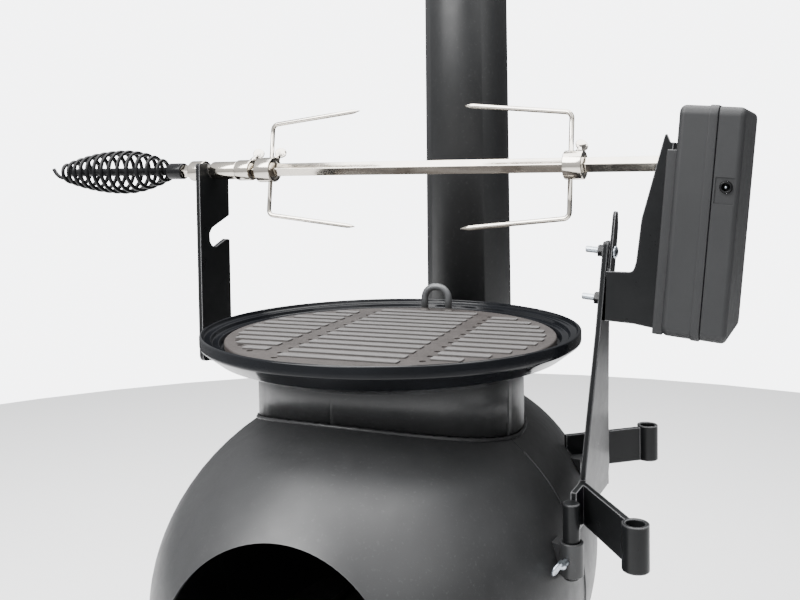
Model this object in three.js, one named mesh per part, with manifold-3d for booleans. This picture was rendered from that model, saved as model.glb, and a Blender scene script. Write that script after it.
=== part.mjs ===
// A wood-fired pot-belly stove with a grill plate and a motor-driven rotisserie spit.
// Millimetres, +Z up, X along the spit, -Y towards the fire door, +Y towards the flue.
// Heights inside the model are measured from the rim plane of the cooking dish; the last
// lines move the whole object so that its origin is the centre of its bounding box's bottom.
import * as THREE from 'three';
import { mergeVertices } from 'three/addons/utils/BufferGeometryUtils.js';
import Module from 'manifold-3d';

const wasm = await Module();
wasm.setup();

// ---------------------------------------------------------------- driving dimensions
const GAP = 0.3;                        // clearance between pieces that touch
const FLOOR = -640;                     // underside of the feet
const RIM_RADIUS = 185;                 // cooking dish, outer
const GRILL = { radius: 162, bottom: -15, floor: -7.9, top: -6.5, rowPitch: 21.1, ribWidth: 11 };
const GRILL_TURN = THREE.MathUtils.degToRad(7);   // how the loose plate lies in the dish
const NECK_RADIUS = 130;
const NECK_TOP = -36;

const BELLY = { width: 195.7, height: 171.5, front: 251.5, rear: 347, z: -222, seamY: -25 };
const STOVE_YAW = THREE.MathUtils.degToRad(3.5);  // the belly's long axis against the spit's square
const SHELL = 3;                        // wall of the belly
const DOOR = { x: 9, z: -226, radius: 100 };      // round fire mouth in the front dome

const FLUE_Y = 240;
const FLUE_RADIUS = 51.5;
const FLUE_TAPER = 2;                   // radius lost over one section
const FLUE_BOTTOM = -96;
const FLUE_JOINT = 402;
const FLUE_TOP = 565;

const SPIT_Z = 155;
const SPIT_TILT = THREE.MathUtils.degToRad(-7);   // the rest angle of the square rod
const ROD = 10;                         // side of the square rod
const ROD_LEFT = -266;
const ROD_RIGHT = 285;
const PRONG_SPREAD = 47.5;              // from the spit's axis to the root of a prong
const PRONG_LENGTH = 95;
const PRONG_WIRE = 2.3;                 // wire radius
const LEFT_FORK_X = -139;
const RIGHT_FORK_X = 183;

const KIT_LEAN = THREE.MathUtils.degToRad(5);     // the motor post leans outwards
const POST_FOOT = { x: 198, z: -125 };  // where the leaning post starts
const POST_SHEET = 5;
const BRACKET_SHEET = 2.5;
const BOLT_HEIGHTS = [205, 163];        // up the leaning post
const BOLT_Y = -2;
const SHAFT_HEIGHT = 285.6;             // output shaft, up the leaning post
const MOTOR = { front: 58, seam: 88, back: 108, bottom: 146, top: 334, halfWidth: 50, wall: 2.5 };
const GEAR_MODULE = 2;
const OUTPUT_TEETH = 30;
const SMALL_TEETH = 9;
const LARGE_TEETH = 27;
const PINION_TEETH = 8;

// ---------------------------------------------------------------- materials
function finish(color, roughness, metalness) {
  return new THREE.MeshStandardMaterial({ color, roughness, metalness });
}
const stovePaint = () => finish(0x2b2d30, 0.55, 0.3);
const enamel = () => finish(0x0b0c0d, 0.12, 0.1);
const castIron = () => finish(0x5a5450, 0.75, 0.5);
const chrome = () => finish(0xd8d2c8, 0.15, 1.0);
const zinc = () => finish(0xb9c2c8, 0.3, 1.0);
const blackWire = () => finish(0x17181a, 0.3, 0.6);
const frameBlack = () => finish(0x151719, 0.4, 0.3);
const moulded = () => finish(0x37393c, 0.6, 0.0);
const brass = () => finish(0xb08d4a, 0.35, 1.0);

// ---------------------------------------------------------------- solid helpers
function toSolid(geometry) {
  const bare = geometry.index ? geometry.toNonIndexed() : geometry.clone();
  bare.deleteAttribute('normal');
  bare.deleteAttribute('uv');
  const merged = mergeVertices(bare, 1e-4);
  return new wasm.Manifold(new wasm.Mesh({
    numProp: 3,
    vertProperties: new Float32Array(merged.attributes.position.array),
    triVerts: new Uint32Array(merged.index.array),
  }));
}

function toGeometry(solid) {
  const mesh = solid.getMesh();
  const geometry = new THREE.BufferGeometry();
  geometry.setAttribute('position', new THREE.BufferAttribute(new Float32Array(mesh.vertProperties), 3));
  geometry.setIndex(new THREE.BufferAttribute(new Uint32Array(mesh.triVerts), 1));
  geometry.computeVertexNormals();
  return geometry;
}

function join(first, ...rest) {
  return rest.reduce((sum, piece) => sum.add(piece), first);
}

function cut(first, ...tools) {
  return tools.reduce((left, tool) => left.subtract(tool), first);
}

// A box from its lowest to its highest corner.
function boxSolid(low, high) {
  const size = high.map((value, axis) => value - low[axis]);
  const geometry = new THREE.BoxGeometry(...size);
  geometry.translate(...low.map((value, axis) => value + size[axis] / 2));
  return toSolid(geometry);
}

// A cylinder along a direction, from its start point.
function rodGeometry(radius, start, end, sides = 16, endRadius = radius) {
  const from = new THREE.Vector3(...start);
  const to = new THREE.Vector3(...end);
  const geometry = new THREE.CylinderGeometry(endRadius, radius, from.distanceTo(to), sides);
  const turn = new THREE.Quaternion().setFromUnitVectors(
    new THREE.Vector3(0, 1, 0), to.clone().sub(from).normalize());
  geometry.applyQuaternion(turn);
  const middle = from.add(to).multiplyScalar(0.5);
  geometry.translate(middle.x, middle.y, middle.z);
  return geometry;
}

function rodSolid(radius, start, end, sides = 16, endRadius = radius) {
  return toSolid(rodGeometry(radius, start, end, sides, endRadius));
}

function tubeSolid(outer, inner, start, end, sides = 20) {
  const extra = new THREE.Vector3(...end).sub(new THREE.Vector3(...start)).normalize();
  const before = start.map((value, axis) => value - extra.getComponent(axis));
  const after = end.map((value, axis) => value + extra.getComponent(axis));
  return cut(rodSolid(outer, start, end, sides), rodSolid(inner, before, after, sides));
}

// A profile of [radius, height] turned about Z, closed on itself or on the axis.
function turned(profile, sides = 32) {
  const points = profile.map(([radius, height]) => new THREE.Vector2(radius, height));
  const geometry = new THREE.LatheGeometry(points, sides);
  geometry.rotateX(Math.PI / 2);
  return geometry;
}

function ringSolid(profile, sides) {
  return toSolid(turned([...profile, profile[0]], sides));
}

function outline(points) {
  return new THREE.Shape(points.map(([x, y]) => new THREE.Vector2(x, y)));
}

// A sheet cut to an outline in the YZ plane, thick along +X from x.
function sheetYZ(points, x, thickness) {
  const geometry = new THREE.ExtrudeGeometry(outline(points), { depth: thickness, bevelEnabled: false });
  geometry.rotateY(Math.PI / 2);
  geometry.rotateX(Math.PI / 2);
  geometry.translate(x, 0, 0);
  return toSolid(geometry);
}

// A sheet cut to an outline in the XZ plane, thick along +Y from y.
function sheetXZ(points, y, thickness) {
  const geometry = new THREE.ExtrudeGeometry(outline(points), { depth: thickness, bevelEnabled: false });
  geometry.rotateX(Math.PI / 2);
  geometry.translate(0, y + thickness, 0);
  return toSolid(geometry);
}

// An upright flat bar between two plan points.
function barSolid(from, to, bottom, top, thickness) {
  const length = Math.hypot(to[0] - from[0], to[1] - from[1]);
  const geometry = new THREE.BoxGeometry(length, thickness, top - bottom);
  geometry.rotateZ(Math.atan2(to[1] - from[1], to[0] - from[0]));
  geometry.translate((from[0] + to[0]) / 2, (from[1] + to[1]) / 2, (top + bottom) / 2);
  return toSolid(geometry);
}

// A round wire along a curve.
function wireGeometry(curve, radius, steps, sides = 8) {
  const section = new THREE.Shape(Array.from({ length: sides }, (_, index) => {
    const angle = (index / sides) * Math.PI * 2;
    return new THREE.Vector2(radius * Math.cos(angle), radius * Math.sin(angle));
  }));
  return new THREE.ExtrudeGeometry(section, { steps, extrudePath: curve, bevelEnabled: false });
}

function wireSolid(curve, radius, steps, sides) {
  return toSolid(wireGeometry(curve, radius, steps, sides));
}

// A curve through corner points, its corners rounded by short bends.
function bentWire(corners, bend) {
  const path = new THREE.CurvePath();
  const points = corners.map((corner) => new THREE.Vector3(...corner));
  let start = points[0];
  for (let index = 1; index < points.length - 1; index += 1) {
    const corner = points[index];
    const before = corner.clone().sub(points[index - 1]).setLength(bend);
    const after = points[index + 1].clone().sub(corner).setLength(bend);
    const entry = corner.clone().sub(before);
    const exit = corner.clone().add(after);
    path.add(new THREE.LineCurve3(start, entry));
    path.add(new THREE.QuadraticBezierCurve3(entry, corner, exit));
    start = exit;
  }
  path.add(new THREE.LineCurve3(start, points.at(-1)));
  return path;
}

// ---------------------------------------------------------------- the assembly
const group = new THREE.Group();

function place(parent, name, shape, material) {
  const geometry = shape.isBufferGeometry ? shape : toGeometry(shape);
  const mesh = new THREE.Mesh(geometry, material);
  mesh.name = name;
  parent.add(mesh);
  return mesh;
}

// ---------------------------------------------------------------- belly, neck and legs
// The belly, its legs and its flue are laid out square in a frame of their own, which is
// turned by STOVE_YAW about the neck's axis.
const stove = new THREE.Group();
stove.rotation.z = STOVE_YAW;
group.add(stove);

// The egg of the belly, grown or shrunk by an offset and turned about the neck's axis.
function bellySolid(offset, yaw) {
  const far = 900;
  const half = (length, side) => {
    const egg = new THREE.SphereGeometry(1, 28, 14);
    egg.scale(BELLY.width + offset, length + offset, BELLY.height + offset);
    egg.translate(0, BELLY.seamY, BELLY.z);
    egg.rotateZ(yaw);
    const keep = new THREE.BoxGeometry(2 * far, far, 2 * far);
    keep.translate(0, BELLY.seamY + (side * far) / 2, 0);
    keep.rotateZ(yaw);
    return toSolid(egg).intersect(toSolid(keep));
  };
  return join(half(BELLY.front, -1), half(BELLY.rear, 1));
}

const bellyClear = bellySolid(GAP, 0);              // in the stove's frame
const bellyClearTurned = bellySolid(GAP, STOVE_YAW);  // in the spit's frame

function addBelly() {
  const far = 900;
  const shell = cut(bellySolid(0, 0), bellySolid(-SHELL, 0));
  const throat = rodSolid(NECK_RADIUS - 8, [0, 0, -200], [0, 0, 0], 40);
  const mouth = rodSolid(DOOR.radius, [DOOR.x, -400, DOOR.z], [DOOR.x, -120, DOOR.z], 36);
  const flueHole = rodSolid(FLUE_RADIUS - 8, [0, FLUE_Y, -260], [0, FLUE_Y, 0], 24);
  const frontHalf = boxSolid([-far, -far, -far], [far, BELLY.seamY - GAP / 2, far]);
  const rearHalf = boxSolid([-far, BELLY.seamY + GAP / 2, -far], [far, far, far]);
  place(stove, 'front_dome', cut(shell.intersect(frontHalf), throat, mouth), stovePaint());
  place(stove, 'rear_dome', cut(shell.intersect(rearHalf), throat, flueHole), stovePaint());
  const neck = tubeSolid(NECK_RADIUS, NECK_RADIUS - 3, [0, 0, -180], [0, 0, NECK_TOP], 40);
  place(stove, 'neck_ring', cut(neck, bellyClear), stovePaint());
}

function addFireGrate() {
  const grateZ = -330;
  const bed = boxSolid([-300, -150, grateZ], [300, 190, grateZ + 8])
    .intersect(bellySolid(-SHELL - GAP, 0));
  const slots = [-3, -2, -1, 0, 1, 2, 3].map((column) =>
    boxSolid([column * 32 - 7, -130, grateZ - 5], [column * 32 + 7, 130, grateZ + 15]));
  place(stove, 'fire_grate', cut(bed, ...slots), castIron());
}

const LEG_CORNERS = [
  ['front_left', -1, -1], ['front_right', 1, -1], ['rear_left', -1, 1], ['rear_right', 1, 1],
];

function addLegs() {
  for (const [corner, sideX, sideY] of LEG_CORNERS) {
    const top = [sideX * 112, 10 + sideY * 150, -330];
    const foot = [sideX * 158, 10 + sideY * 212, FLOOR + 14];
    const along = new THREE.Vector3(...foot).sub(new THREE.Vector3(...top)).normalize();
    const at = (distance) => top.map((value, axis) => value + along.getComponent(axis) * distance);
    const overrun = at(330);
    const floorCut = boxSolid([-500, -500, FLOOR - 60], [500, 500, FLOOR + 14 + GAP]);
    const socket = tubeSolid(18, 14 + GAP, at(-60), at(85), 16);
    place(stove, `leg_socket_${corner}`, cut(socket, bellyClear), stovePaint());
    const leg = cut(tubeSolid(14, 11.5, at(-40), overrun, 16), floorCut, bellyClear);
    place(stove, `leg_${corner}`, leg, stovePaint());
    const puck = turned([[0, 0], [15, 0], [17, 2], [17, 12], [15, 14], [0, 14]], 20);
    puck.translate(foot[0], foot[1], FLOOR);
    place(stove, `foot_${corner}`, puck, finish(0x101112, 0.8, 0));
  }
}

// ---------------------------------------------------------------- flue
function addFlue() {
  const slope = FLUE_TAPER / (FLUE_JOINT - FLUE_BOTTOM);
  const radiusAt = (height) => FLUE_RADIUS - slope * (height - FLUE_BOTTOM);
  const wall = 1.5;
  const section = (profile) => {
    const geometry = turned([...profile, profile[0]], 32);
    geometry.translate(0, FLUE_Y, 0);
    return toSolid(geometry);
  };
  const stubTop = FLUE_BOTTOM + 40;
  const stubRadius = radiusAt(stubTop) - wall - GAP;
  const stub = tubeSolid(stubRadius, stubRadius - 3, [0, FLUE_Y, -200], [0, FLUE_Y, stubTop], 32);
  place(stove, 'flue_collar', cut(stub, bellyClear), stovePaint());
  const lower = section([
    [radiusAt(FLUE_BOTTOM) - wall, FLUE_BOTTOM], [radiusAt(FLUE_BOTTOM), FLUE_BOTTOM],
    [radiusAt(FLUE_JOINT), FLUE_JOINT], [radiusAt(FLUE_JOINT) - wall, FLUE_JOINT],
  ]);
  place(stove, 'flue_lower', cut(lower, bellyClear), stovePaint());
  const overlap = FLUE_JOINT - 30;
  const upperRadius = radiusAt(overlap) + wall + GAP;
  place(stove, 'flue_upper', section([
    [upperRadius - wall, overlap], [upperRadius, overlap],
    [upperRadius - 1.5, FLUE_TOP], [upperRadius - 1.5 - wall, FLUE_TOP],
  ]), stovePaint());
  const capInner = upperRadius + GAP;
  const collar = section([
    [capInner, FLUE_TOP - 22], [capInner + 1.5, FLUE_TOP - 22],
    [capInner + 1.5, FLUE_TOP + 6], [capInner, FLUE_TOP + 6],
  ]);
  const hat = section([
    [72, FLUE_TOP + 34], [72, FLUE_TOP + 37], [0.001, FLUE_TOP + 60], [0.001, FLUE_TOP + 57],
  ]);
  const stays = [0, 1, 2].map((index) => {
    const angle = (index * 2 * Math.PI) / 3 + Math.PI / 2;
    const bar = new THREE.BoxGeometry(2, 14, 54);
    bar.translate(capInner + 1.8, 0, 0);
    bar.rotateZ(angle);
    bar.translate(0, FLUE_Y, FLUE_TOP + 18);
    return toSolid(bar);
  });
  place(stove, 'flue_cap', join(collar, hat, ...stays), stovePaint());
}

// ---------------------------------------------------------------- cooking top
function addCookingTop() {
  const dish = ringSolid([
    [RIM_RADIUS - 4, -5], [174, -5], [173, -9], [166, -9], [165, GRILL.bottom - GAP],
    [156, GRILL.bottom - GAP], [154, -20], [147, -28],
    [NECK_RADIUS - 6, -32], [NECK_RADIUS - 6, -44], [NECK_RADIUS - 4, -44],
    [NECK_RADIUS - 4, NECK_TOP + GAP], [NECK_RADIUS + 1, NECK_TOP + GAP], [148, -32], [168, -24],
    [RIM_RADIUS - 4, -14], [RIM_RADIUS, -11], [RIM_RADIUS, -1], [RIM_RADIUS - 3, 0],
  ], 40);
  place(group, 'dish', dish, enamel());
  addGrillPlate();
}

// A round plate with three panels of ribs. Every groove between two ribs drains through a hole
// at its left end, on the rim or on the flat band beside the panel.
function addGrillPlate() {
  const grill = new THREE.Group();
  grill.rotation.z = GRILL_TURN;
  group.add(grill);
  const { radius, bottom, floor, top, rowPitch, ribWidth } = GRILL;
  const plate = turned([
    [0, bottom], [radius - 1, bottom], [radius, bottom + 1], [radius, floor - 1],
    [radius - 1, floor], [0, floor],
  ], 48);
  const panelReach = 152;
  const bandHoles = [-61.5, 71.5];
  const ribs = [];
  const holes = [];
  const drain = (x, y) => rodSolid(3.2, [x, y, bottom - 1], [x, y, floor + 1], 8);
  for (let row = -6; row <= 6; row += 1) {
    const y = row * rowPitch;
    const reach = Math.sqrt(panelReach ** 2 - (Math.abs(y) + ribWidth / 2) ** 2);
    for (const [from, to] of [[-reach, -78], [-57, 54], [76, reach]]) {
      if (to - from > 8) {
        ribs.push(boxSolid([from, y - ribWidth / 2, floor - 1], [to, y + ribWidth / 2, top]));
      }
    }
  }
  for (let groove = -6.5; groove <= 6.5; groove += 1) {
    const y = groove * rowPitch;
    holes.push(drain(-Math.sqrt(148.5 ** 2 - y * y), y));
    for (const x of bandHoles) {
      if (Math.hypot(x, y) < 148) {
        holes.push(drain(x, y));
      }
    }
  }
  place(grill, 'grill_plate', cut(join(toSolid(plate), ...ribs), ...holes), castIron());
  const loop = { x: 1.5, y: 147, half: 14, crown: 19, radius: 4 };
  const foot = floor + GAP;
  const arch = bentWire([
    [loop.x - loop.half, loop.y, foot], [loop.x - loop.half, loop.y, loop.crown],
    [loop.x + loop.half, loop.y, loop.crown], [loop.x + loop.half, loop.y, foot],
  ], loop.half - 0.5);
  place(grill, 'lifting_loop', wireGeometry(arch, loop.radius, 24, 10), castIron());
}

// ---------------------------------------------------------------- sockets on the stove
const FRONT_PEG = [200, -66];
const REAR_END = [148, 96];             // the rear arm's inner end, in its rest on the belly
const LEFT_PEG = [-150, 15];
const SOCKET_TOP = -156;
const SOCKET_BOTTOM = -184;

// A thumb screw with one flat oval spade, pointing along +Z from the tip of its thread.
function thumbScrewSolid(thread, neck) {
  const shank = rodSolid(2.7, [0, 0, 0], [0, 0, thread], 12);
  const stem = rodSolid(4.2, [0, 0, thread - 0.5], [0, 0, thread + neck], 12, 2.2);
  const disc = new THREE.CylinderGeometry(6, 6, 2.2, 20);
  disc.scale(1, 1, 1.15);
  disc.translate(0, 0, thread + neck + 5.7);
  return join(shank, stem, toSolid(disc));
}

function placeAlong(parent, name, solid, origin, direction, material, turn = 0) {
  const mesh = place(parent, name, solid, material);
  mesh.position.set(...origin);
  mesh.quaternion.setFromUnitVectors(new THREE.Vector3(0, 0, 1), new THREE.Vector3(...direction).normalize());
  mesh.rotateZ(turn);
  return mesh;
}

function addSideSocket(name, centre, lug, screwDirection, top, bottom) {
  const [x, y] = centre;
  const tube = rodSolid(10, [x, y, bottom], [x, y, top], 20);
  const bore = rodSolid(7 + GAP, [x, y, bottom - 1], [x, y, top + 1], 20);
  const middle = (top + bottom) / 2;
  const weld = barSolid(centre, lug, middle - 10, middle + 10, 12);
  const reach = (distance) => [
    x + screwDirection[0] * distance, y + screwDirection[1] * distance, middle];
  const screwHole = rodSolid(3, [x, y, middle], reach(14), 12);
  const keepOut = join(bellyClearTurned, rodSolid(NECK_RADIUS + GAP, [0, 0, -120], [0, 0, 0], 48));
  place(group, `${name}_socket`, cut(join(tube, weld), bore, screwHole, keepOut), stovePaint());
  placeAlong(group, `${name}_thumb_screw`, thumbScrewSolid(9, 4), reach(7 + GAP),
    [...screwDirection, 0], zinc(), THREE.MathUtils.degToRad(55));
}

function addSockets() {
  addSideSocket('front_post', FRONT_PEG, [165, -50], [-0.1961, -0.9806], SOCKET_TOP, SOCKET_BOTTOM);
  const restBlock = barSolid([138, 99], [166, 99], ARM_BOTTOM - 14, ARM_BOTTOM + 14, 26);
  const restSlot = barSolid(REAR_END, REAR_TUBE, ARM_BOTTOM - GAP, 0, POST_SHEET + 2 * GAP);
  place(group, 'rear_rest', cut(restBlock, restSlot, bellyClearTurned), stovePaint());
  addSideSocket('left_support', LEFT_PEG, [-120, 12], [-0.866, 0.5], -54, -78);
}

// ---------------------------------------------------------------- left support
function addLeftSupport() {
  const x = -221.5;
  const near = -22;
  const far = 28;
  const notchZ = SPIT_Z;
  const corner = 8;
  const face = sheetYZ([
    [near, -51 + corner], [near + corner * 0.3, -51 + corner * 0.3], [near + corner, -51],
    [far, -51], [far, 78], [far - 6, 79], [5, 72], [-1, 72], [-6, 77], [-7, 87], [-2, 93],
    [far, 105], [far, 161], [far - 2, 163], [near + 2, 163], [near, 161],
  ], x, 5);
  const saddle = join(
    rodSolid(7.4, [x - 1, 0, notchZ], [x + 6, 0, notchZ], 20),
    boxSolid([x - 1, -7.4, notchZ], [x + 6, 7.4, notchZ + 20]));
  const foot = boxSolid([x + 2, near + 10, -51], [-140, far, -46]);
  const [pegX, pegY] = LEFT_PEG;
  const peg = rodSolid(7, [pegX, pegY, -84], [pegX, pegY, -47], 20);
  place(group, 'left_support_plate', cut(join(face, foot, peg), saddle), frameBlack());
}

// ---------------------------------------------------------------- motor post
const postKit = new THREE.Group();
postKit.position.set(POST_FOOT.x, 0, POST_FOOT.z);
postKit.rotation.y = KIT_LEAN;
group.add(postKit);

const ARM_TOP = -118;
const ARM_BOTTOM = -152;
const FRONT_TUBE = [261, -106];
const REAR_TUBE = [217, 160];
const WEB_NEAR = [199.5, -27];
const WEB_FAR = [196, 68];
const LINK_END = [181, 125.5];

function addPost() {
  const web = sheetYZ([
    [-12, 214], [8, 214], [9, 170], [20, 130], [42, 56], [66, -8],
    [66, -27], [-25, -27], [-25, 17], [-21, 60], [-14, 134],
  ], -POST_SHEET / 2, POST_SHEET);
  const holes = BOLT_HEIGHTS.map((height) =>
    rodSolid(3 + GAP, [-10, BOLT_Y, height], [10, BOLT_Y, height], 12));
  place(postKit, 'post_plate', cut(web, ...holes), frameBlack());
  const webClear = barSolid([WEB_NEAR[0] + 2, -25 - GAP], [WEB_NEAR[0], 66 + GAP], -200, -80, 12);
  const frontTube = tubeSolid(10.5, 7.5, [...FRONT_TUBE, ARM_BOTTOM], [...FRONT_TUBE, ARM_TOP + 2], 20);
  const rearTube = tubeSolid(10.5, 7.5, [...REAR_TUBE, ARM_BOTTOM], [...REAR_TUBE, ARM_TOP + 2], 20);
  const frontBore = rodSolid(7.5, [...FRONT_TUBE, -200], [...FRONT_TUBE, -80], 20);
  const rearBore = rodSolid(7.5, [...REAR_TUBE, -200], [...REAR_TUBE, -80], 20);
  const pegClear = rodSolid(7 + GAP, [...FRONT_PEG, -220], [...FRONT_PEG, -80], 20);
  const frontArm = join(
    barSolid(FRONT_PEG, [200, -26], ARM_BOTTOM, ARM_TOP, POST_SHEET),
    barSolid([198, -28], FRONT_TUBE, ARM_BOTTOM, ARM_TOP, POST_SHEET),
    frontTube);
  place(group, 'front_arm', cut(frontArm, webClear, frontBore, pegClear), frameBlack());
  const rearArm = join(
    barSolid(REAR_END, REAR_TUBE, ARM_BOTTOM, ARM_TOP, POST_SHEET),
    barSolid(WEB_FAR, LINK_END, ARM_BOTTOM, ARM_TOP, POST_SHEET),
    rearTube);
  place(group, 'rear_arm', cut(rearArm, webClear, rearBore, bellyClearTurned), frameBlack());
  place(group, 'front_post_peg',
    rodGeometry(7, [...FRONT_PEG, SOCKET_BOTTOM - 4], [...FRONT_PEG, ARM_TOP - 6], 20), frameBlack());
}

function addBracket() {
  const sheet = BRACKET_SHEET;
  const wingY = -14;
  const left = POST_SHEET / 2 + GAP;
  const right = 47.5;
  const wing = sheetXZ([
    [left, 146], [30, 147], [right + sheet, 145.5], [right + sheet, 298], [44, 310], [42.5, 309],
    [33, 258], [29, 237], [27.5, 200], [25.5, 191], [left, 189],
  ], wingY, sheet);
  const postFlange = sheetYZ([
    [wingY, 146], [9, 146], [9, 225], [3, 241], [-6, 240], [-9, 189], [wingY, 189],
  ], left, sheet);
  const motorFlange = sheetYZ([
    [wingY, 145.5], [24, 145.5], [24, 292], [14, 303], [wingY, 303],
  ], right, sheet);
  const boltHoles = BOLT_HEIGHTS.map((height) =>
    rodSolid(3 + GAP, [0, BOLT_Y, height], [12, BOLT_Y, height], 12));
  const shaftHole = rodSolid(12.5, [right - 5, 0, SHAFT_HEIGHT], [right + 8, 0, SHAFT_HEIGHT], 24);
  const screwHoles = [170, 235].map((height) =>
    rodSolid(2.2, [right - 5, 14, height], [right + 8, 14, height], 10));
  place(postKit, 'motor_bracket',
    cut(join(wing, postFlange, motorFlange), ...boltHoles, shaftHole, ...screwHoles), frameBlack());
  for (const [index, height] of BOLT_HEIGHTS.entries()) {
    const headX = left + sheet + GAP;
    const name = index === 0 ? 'upper' : 'lower';
    const shank = rodSolid(3, [-19, BOLT_Y, height], [headX + 1, BOLT_Y, height], 12);
    const head = toSolid(roundHead(5.6, 3.6, [headX, BOLT_Y, height]));
    place(postKit, `bracket_bolt_${name}`, join(shank, head), zinc());
    const nut = rodSolid(5.8, [-8, BOLT_Y, height], [-POST_SHEET / 2 - GAP, BOLT_Y, height], 6);
    const bore = rodSolid(3 + GAP, [-10, BOLT_Y, height], [0, BOLT_Y, height], 12);
    place(postKit, `bracket_nut_${name}`, cut(nut, bore), frameBlack());
  }
}

// A low domed screw head whose flat back is at the given point and that looks along +X.
function roundHead(radius, height, at) {
  const head = turned([[0, 0], [radius, 0], [radius, height * 0.35], [radius * 0.7, height * 0.85],
    [0, height]], 16);
  head.rotateY(Math.PI / 2);
  head.translate(...at);
  return head;
}

// ---------------------------------------------------------------- motor
// A rounded box standing in the post's leaning frame, thick along X.
function motorBlock(front, back, inset, corner) {
  const halfWidth = MOTOR.halfWidth - inset;
  const low = MOTOR.bottom + inset;
  const high = MOTOR.top - inset;
  const points = [];
  for (const [cornerY, cornerZ, startAngle] of [
    [halfWidth - corner, high - corner, 0], [-halfWidth + corner, high - corner, 90],
    [-halfWidth + corner, low + corner, 180], [halfWidth - corner, low + corner, 270],
  ]) {
    for (const step of [0, 30, 60, 90]) {
      const angle = THREE.MathUtils.degToRad(startAngle + step);
      points.push([cornerY + corner * Math.cos(angle), cornerZ + corner * Math.sin(angle)]);
    }
  }
  return sheetYZ(points, front, back - front);
}

function gearOutline(teeth) {
  const pitchRadius = (GEAR_MODULE * teeth) / 2;
  const root = pitchRadius - 1.15 * GEAR_MODULE;
  const tip = pitchRadius + 0.75 * GEAR_MODULE;
  const pitchAngle = (2 * Math.PI) / teeth;
  const points = [];
  for (let tooth = 0; tooth < teeth; tooth += 1) {
    const middle = tooth * pitchAngle;
    for (const [radius, share] of [[root, -0.24], [tip, -0.1], [tip, 0.1], [root, 0.24]]) {
      const angle = middle + share * pitchAngle;
      points.push([radius * Math.cos(angle), radius * Math.sin(angle)]);
    }
  }
  return points;
}

function gearSolid(teeth, front, back, height, phase) {
  const turn = phase * (2 * Math.PI) / teeth;
  const points = gearOutline(teeth).map(([y, z]) => [
    y * Math.cos(turn) - z * Math.sin(turn), y * Math.sin(turn) + z * Math.cos(turn) + height]);
  return sheetYZ(points, front, back - front);
}

const STAGE_SPREAD = GEAR_MODULE * (OUTPUT_TEETH + SMALL_TEETH) / 2 + 0.4;
const MOTOR_SPREAD = GEAR_MODULE * (LARGE_TEETH + PINION_TEETH) / 2 + 0.4;
const IDLER_HEIGHT = SHAFT_HEIGHT - STAGE_SPREAD;
const PINION_HEIGHT = IDLER_HEIGHT - MOTOR_SPREAD;

function addMotorCase() {
  const { front, seam, back, wall } = MOTOR;
  const channelFront = 50.6;
  const channel = boxSolid([channelFront, -44, 147], [front + 1, 44, 297]);
  const shell = cut(
    join(motorBlock(front, seam - GAP / 2, 0, 9), channel),
    motorBlock(front + wall, seam + 5, wall, 7),
    rodSolid(11.6, [channelFront - 2, 0, SHAFT_HEIGHT], [front + 8, 0, SHAFT_HEIGHT], 24));
  place(postKit, 'motor_front_shell', shell, moulded());
  const inletHeight = 270.4;
  const recess = boxSolid([seam + 1.8, -60, 257], [back - 3.5, -MOTOR.halfWidth + 1.2, 278]);
  const inletHole = rodSolid(5, [98, -60, inletHeight], [98, -40, inletHeight], 16);
  const cover = cut(
    motorBlock(seam + GAP / 2, back, 0.8, 8.5),
    motorBlock(seam - 5, back - wall, wall + 0.8, 6.5),
    recess, inletHole);
  place(postKit, 'motor_rear_cover', cover, moulded());
  const inletTube = cut(
    rodSolid(4.6, [98, -36, inletHeight], [98, -MOTOR.halfWidth - 0.5, inletHeight], 16),
    rodSolid(3.2, [98, -38, inletHeight], [98, -60, inletHeight], 16));
  const pin = rodSolid(0.9, [98, -37, inletHeight], [98, -MOTOR.halfWidth, inletHeight], 8);
  place(postKit, 'dc_inlet', join(inletTube, pin), moulded());
}

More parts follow.
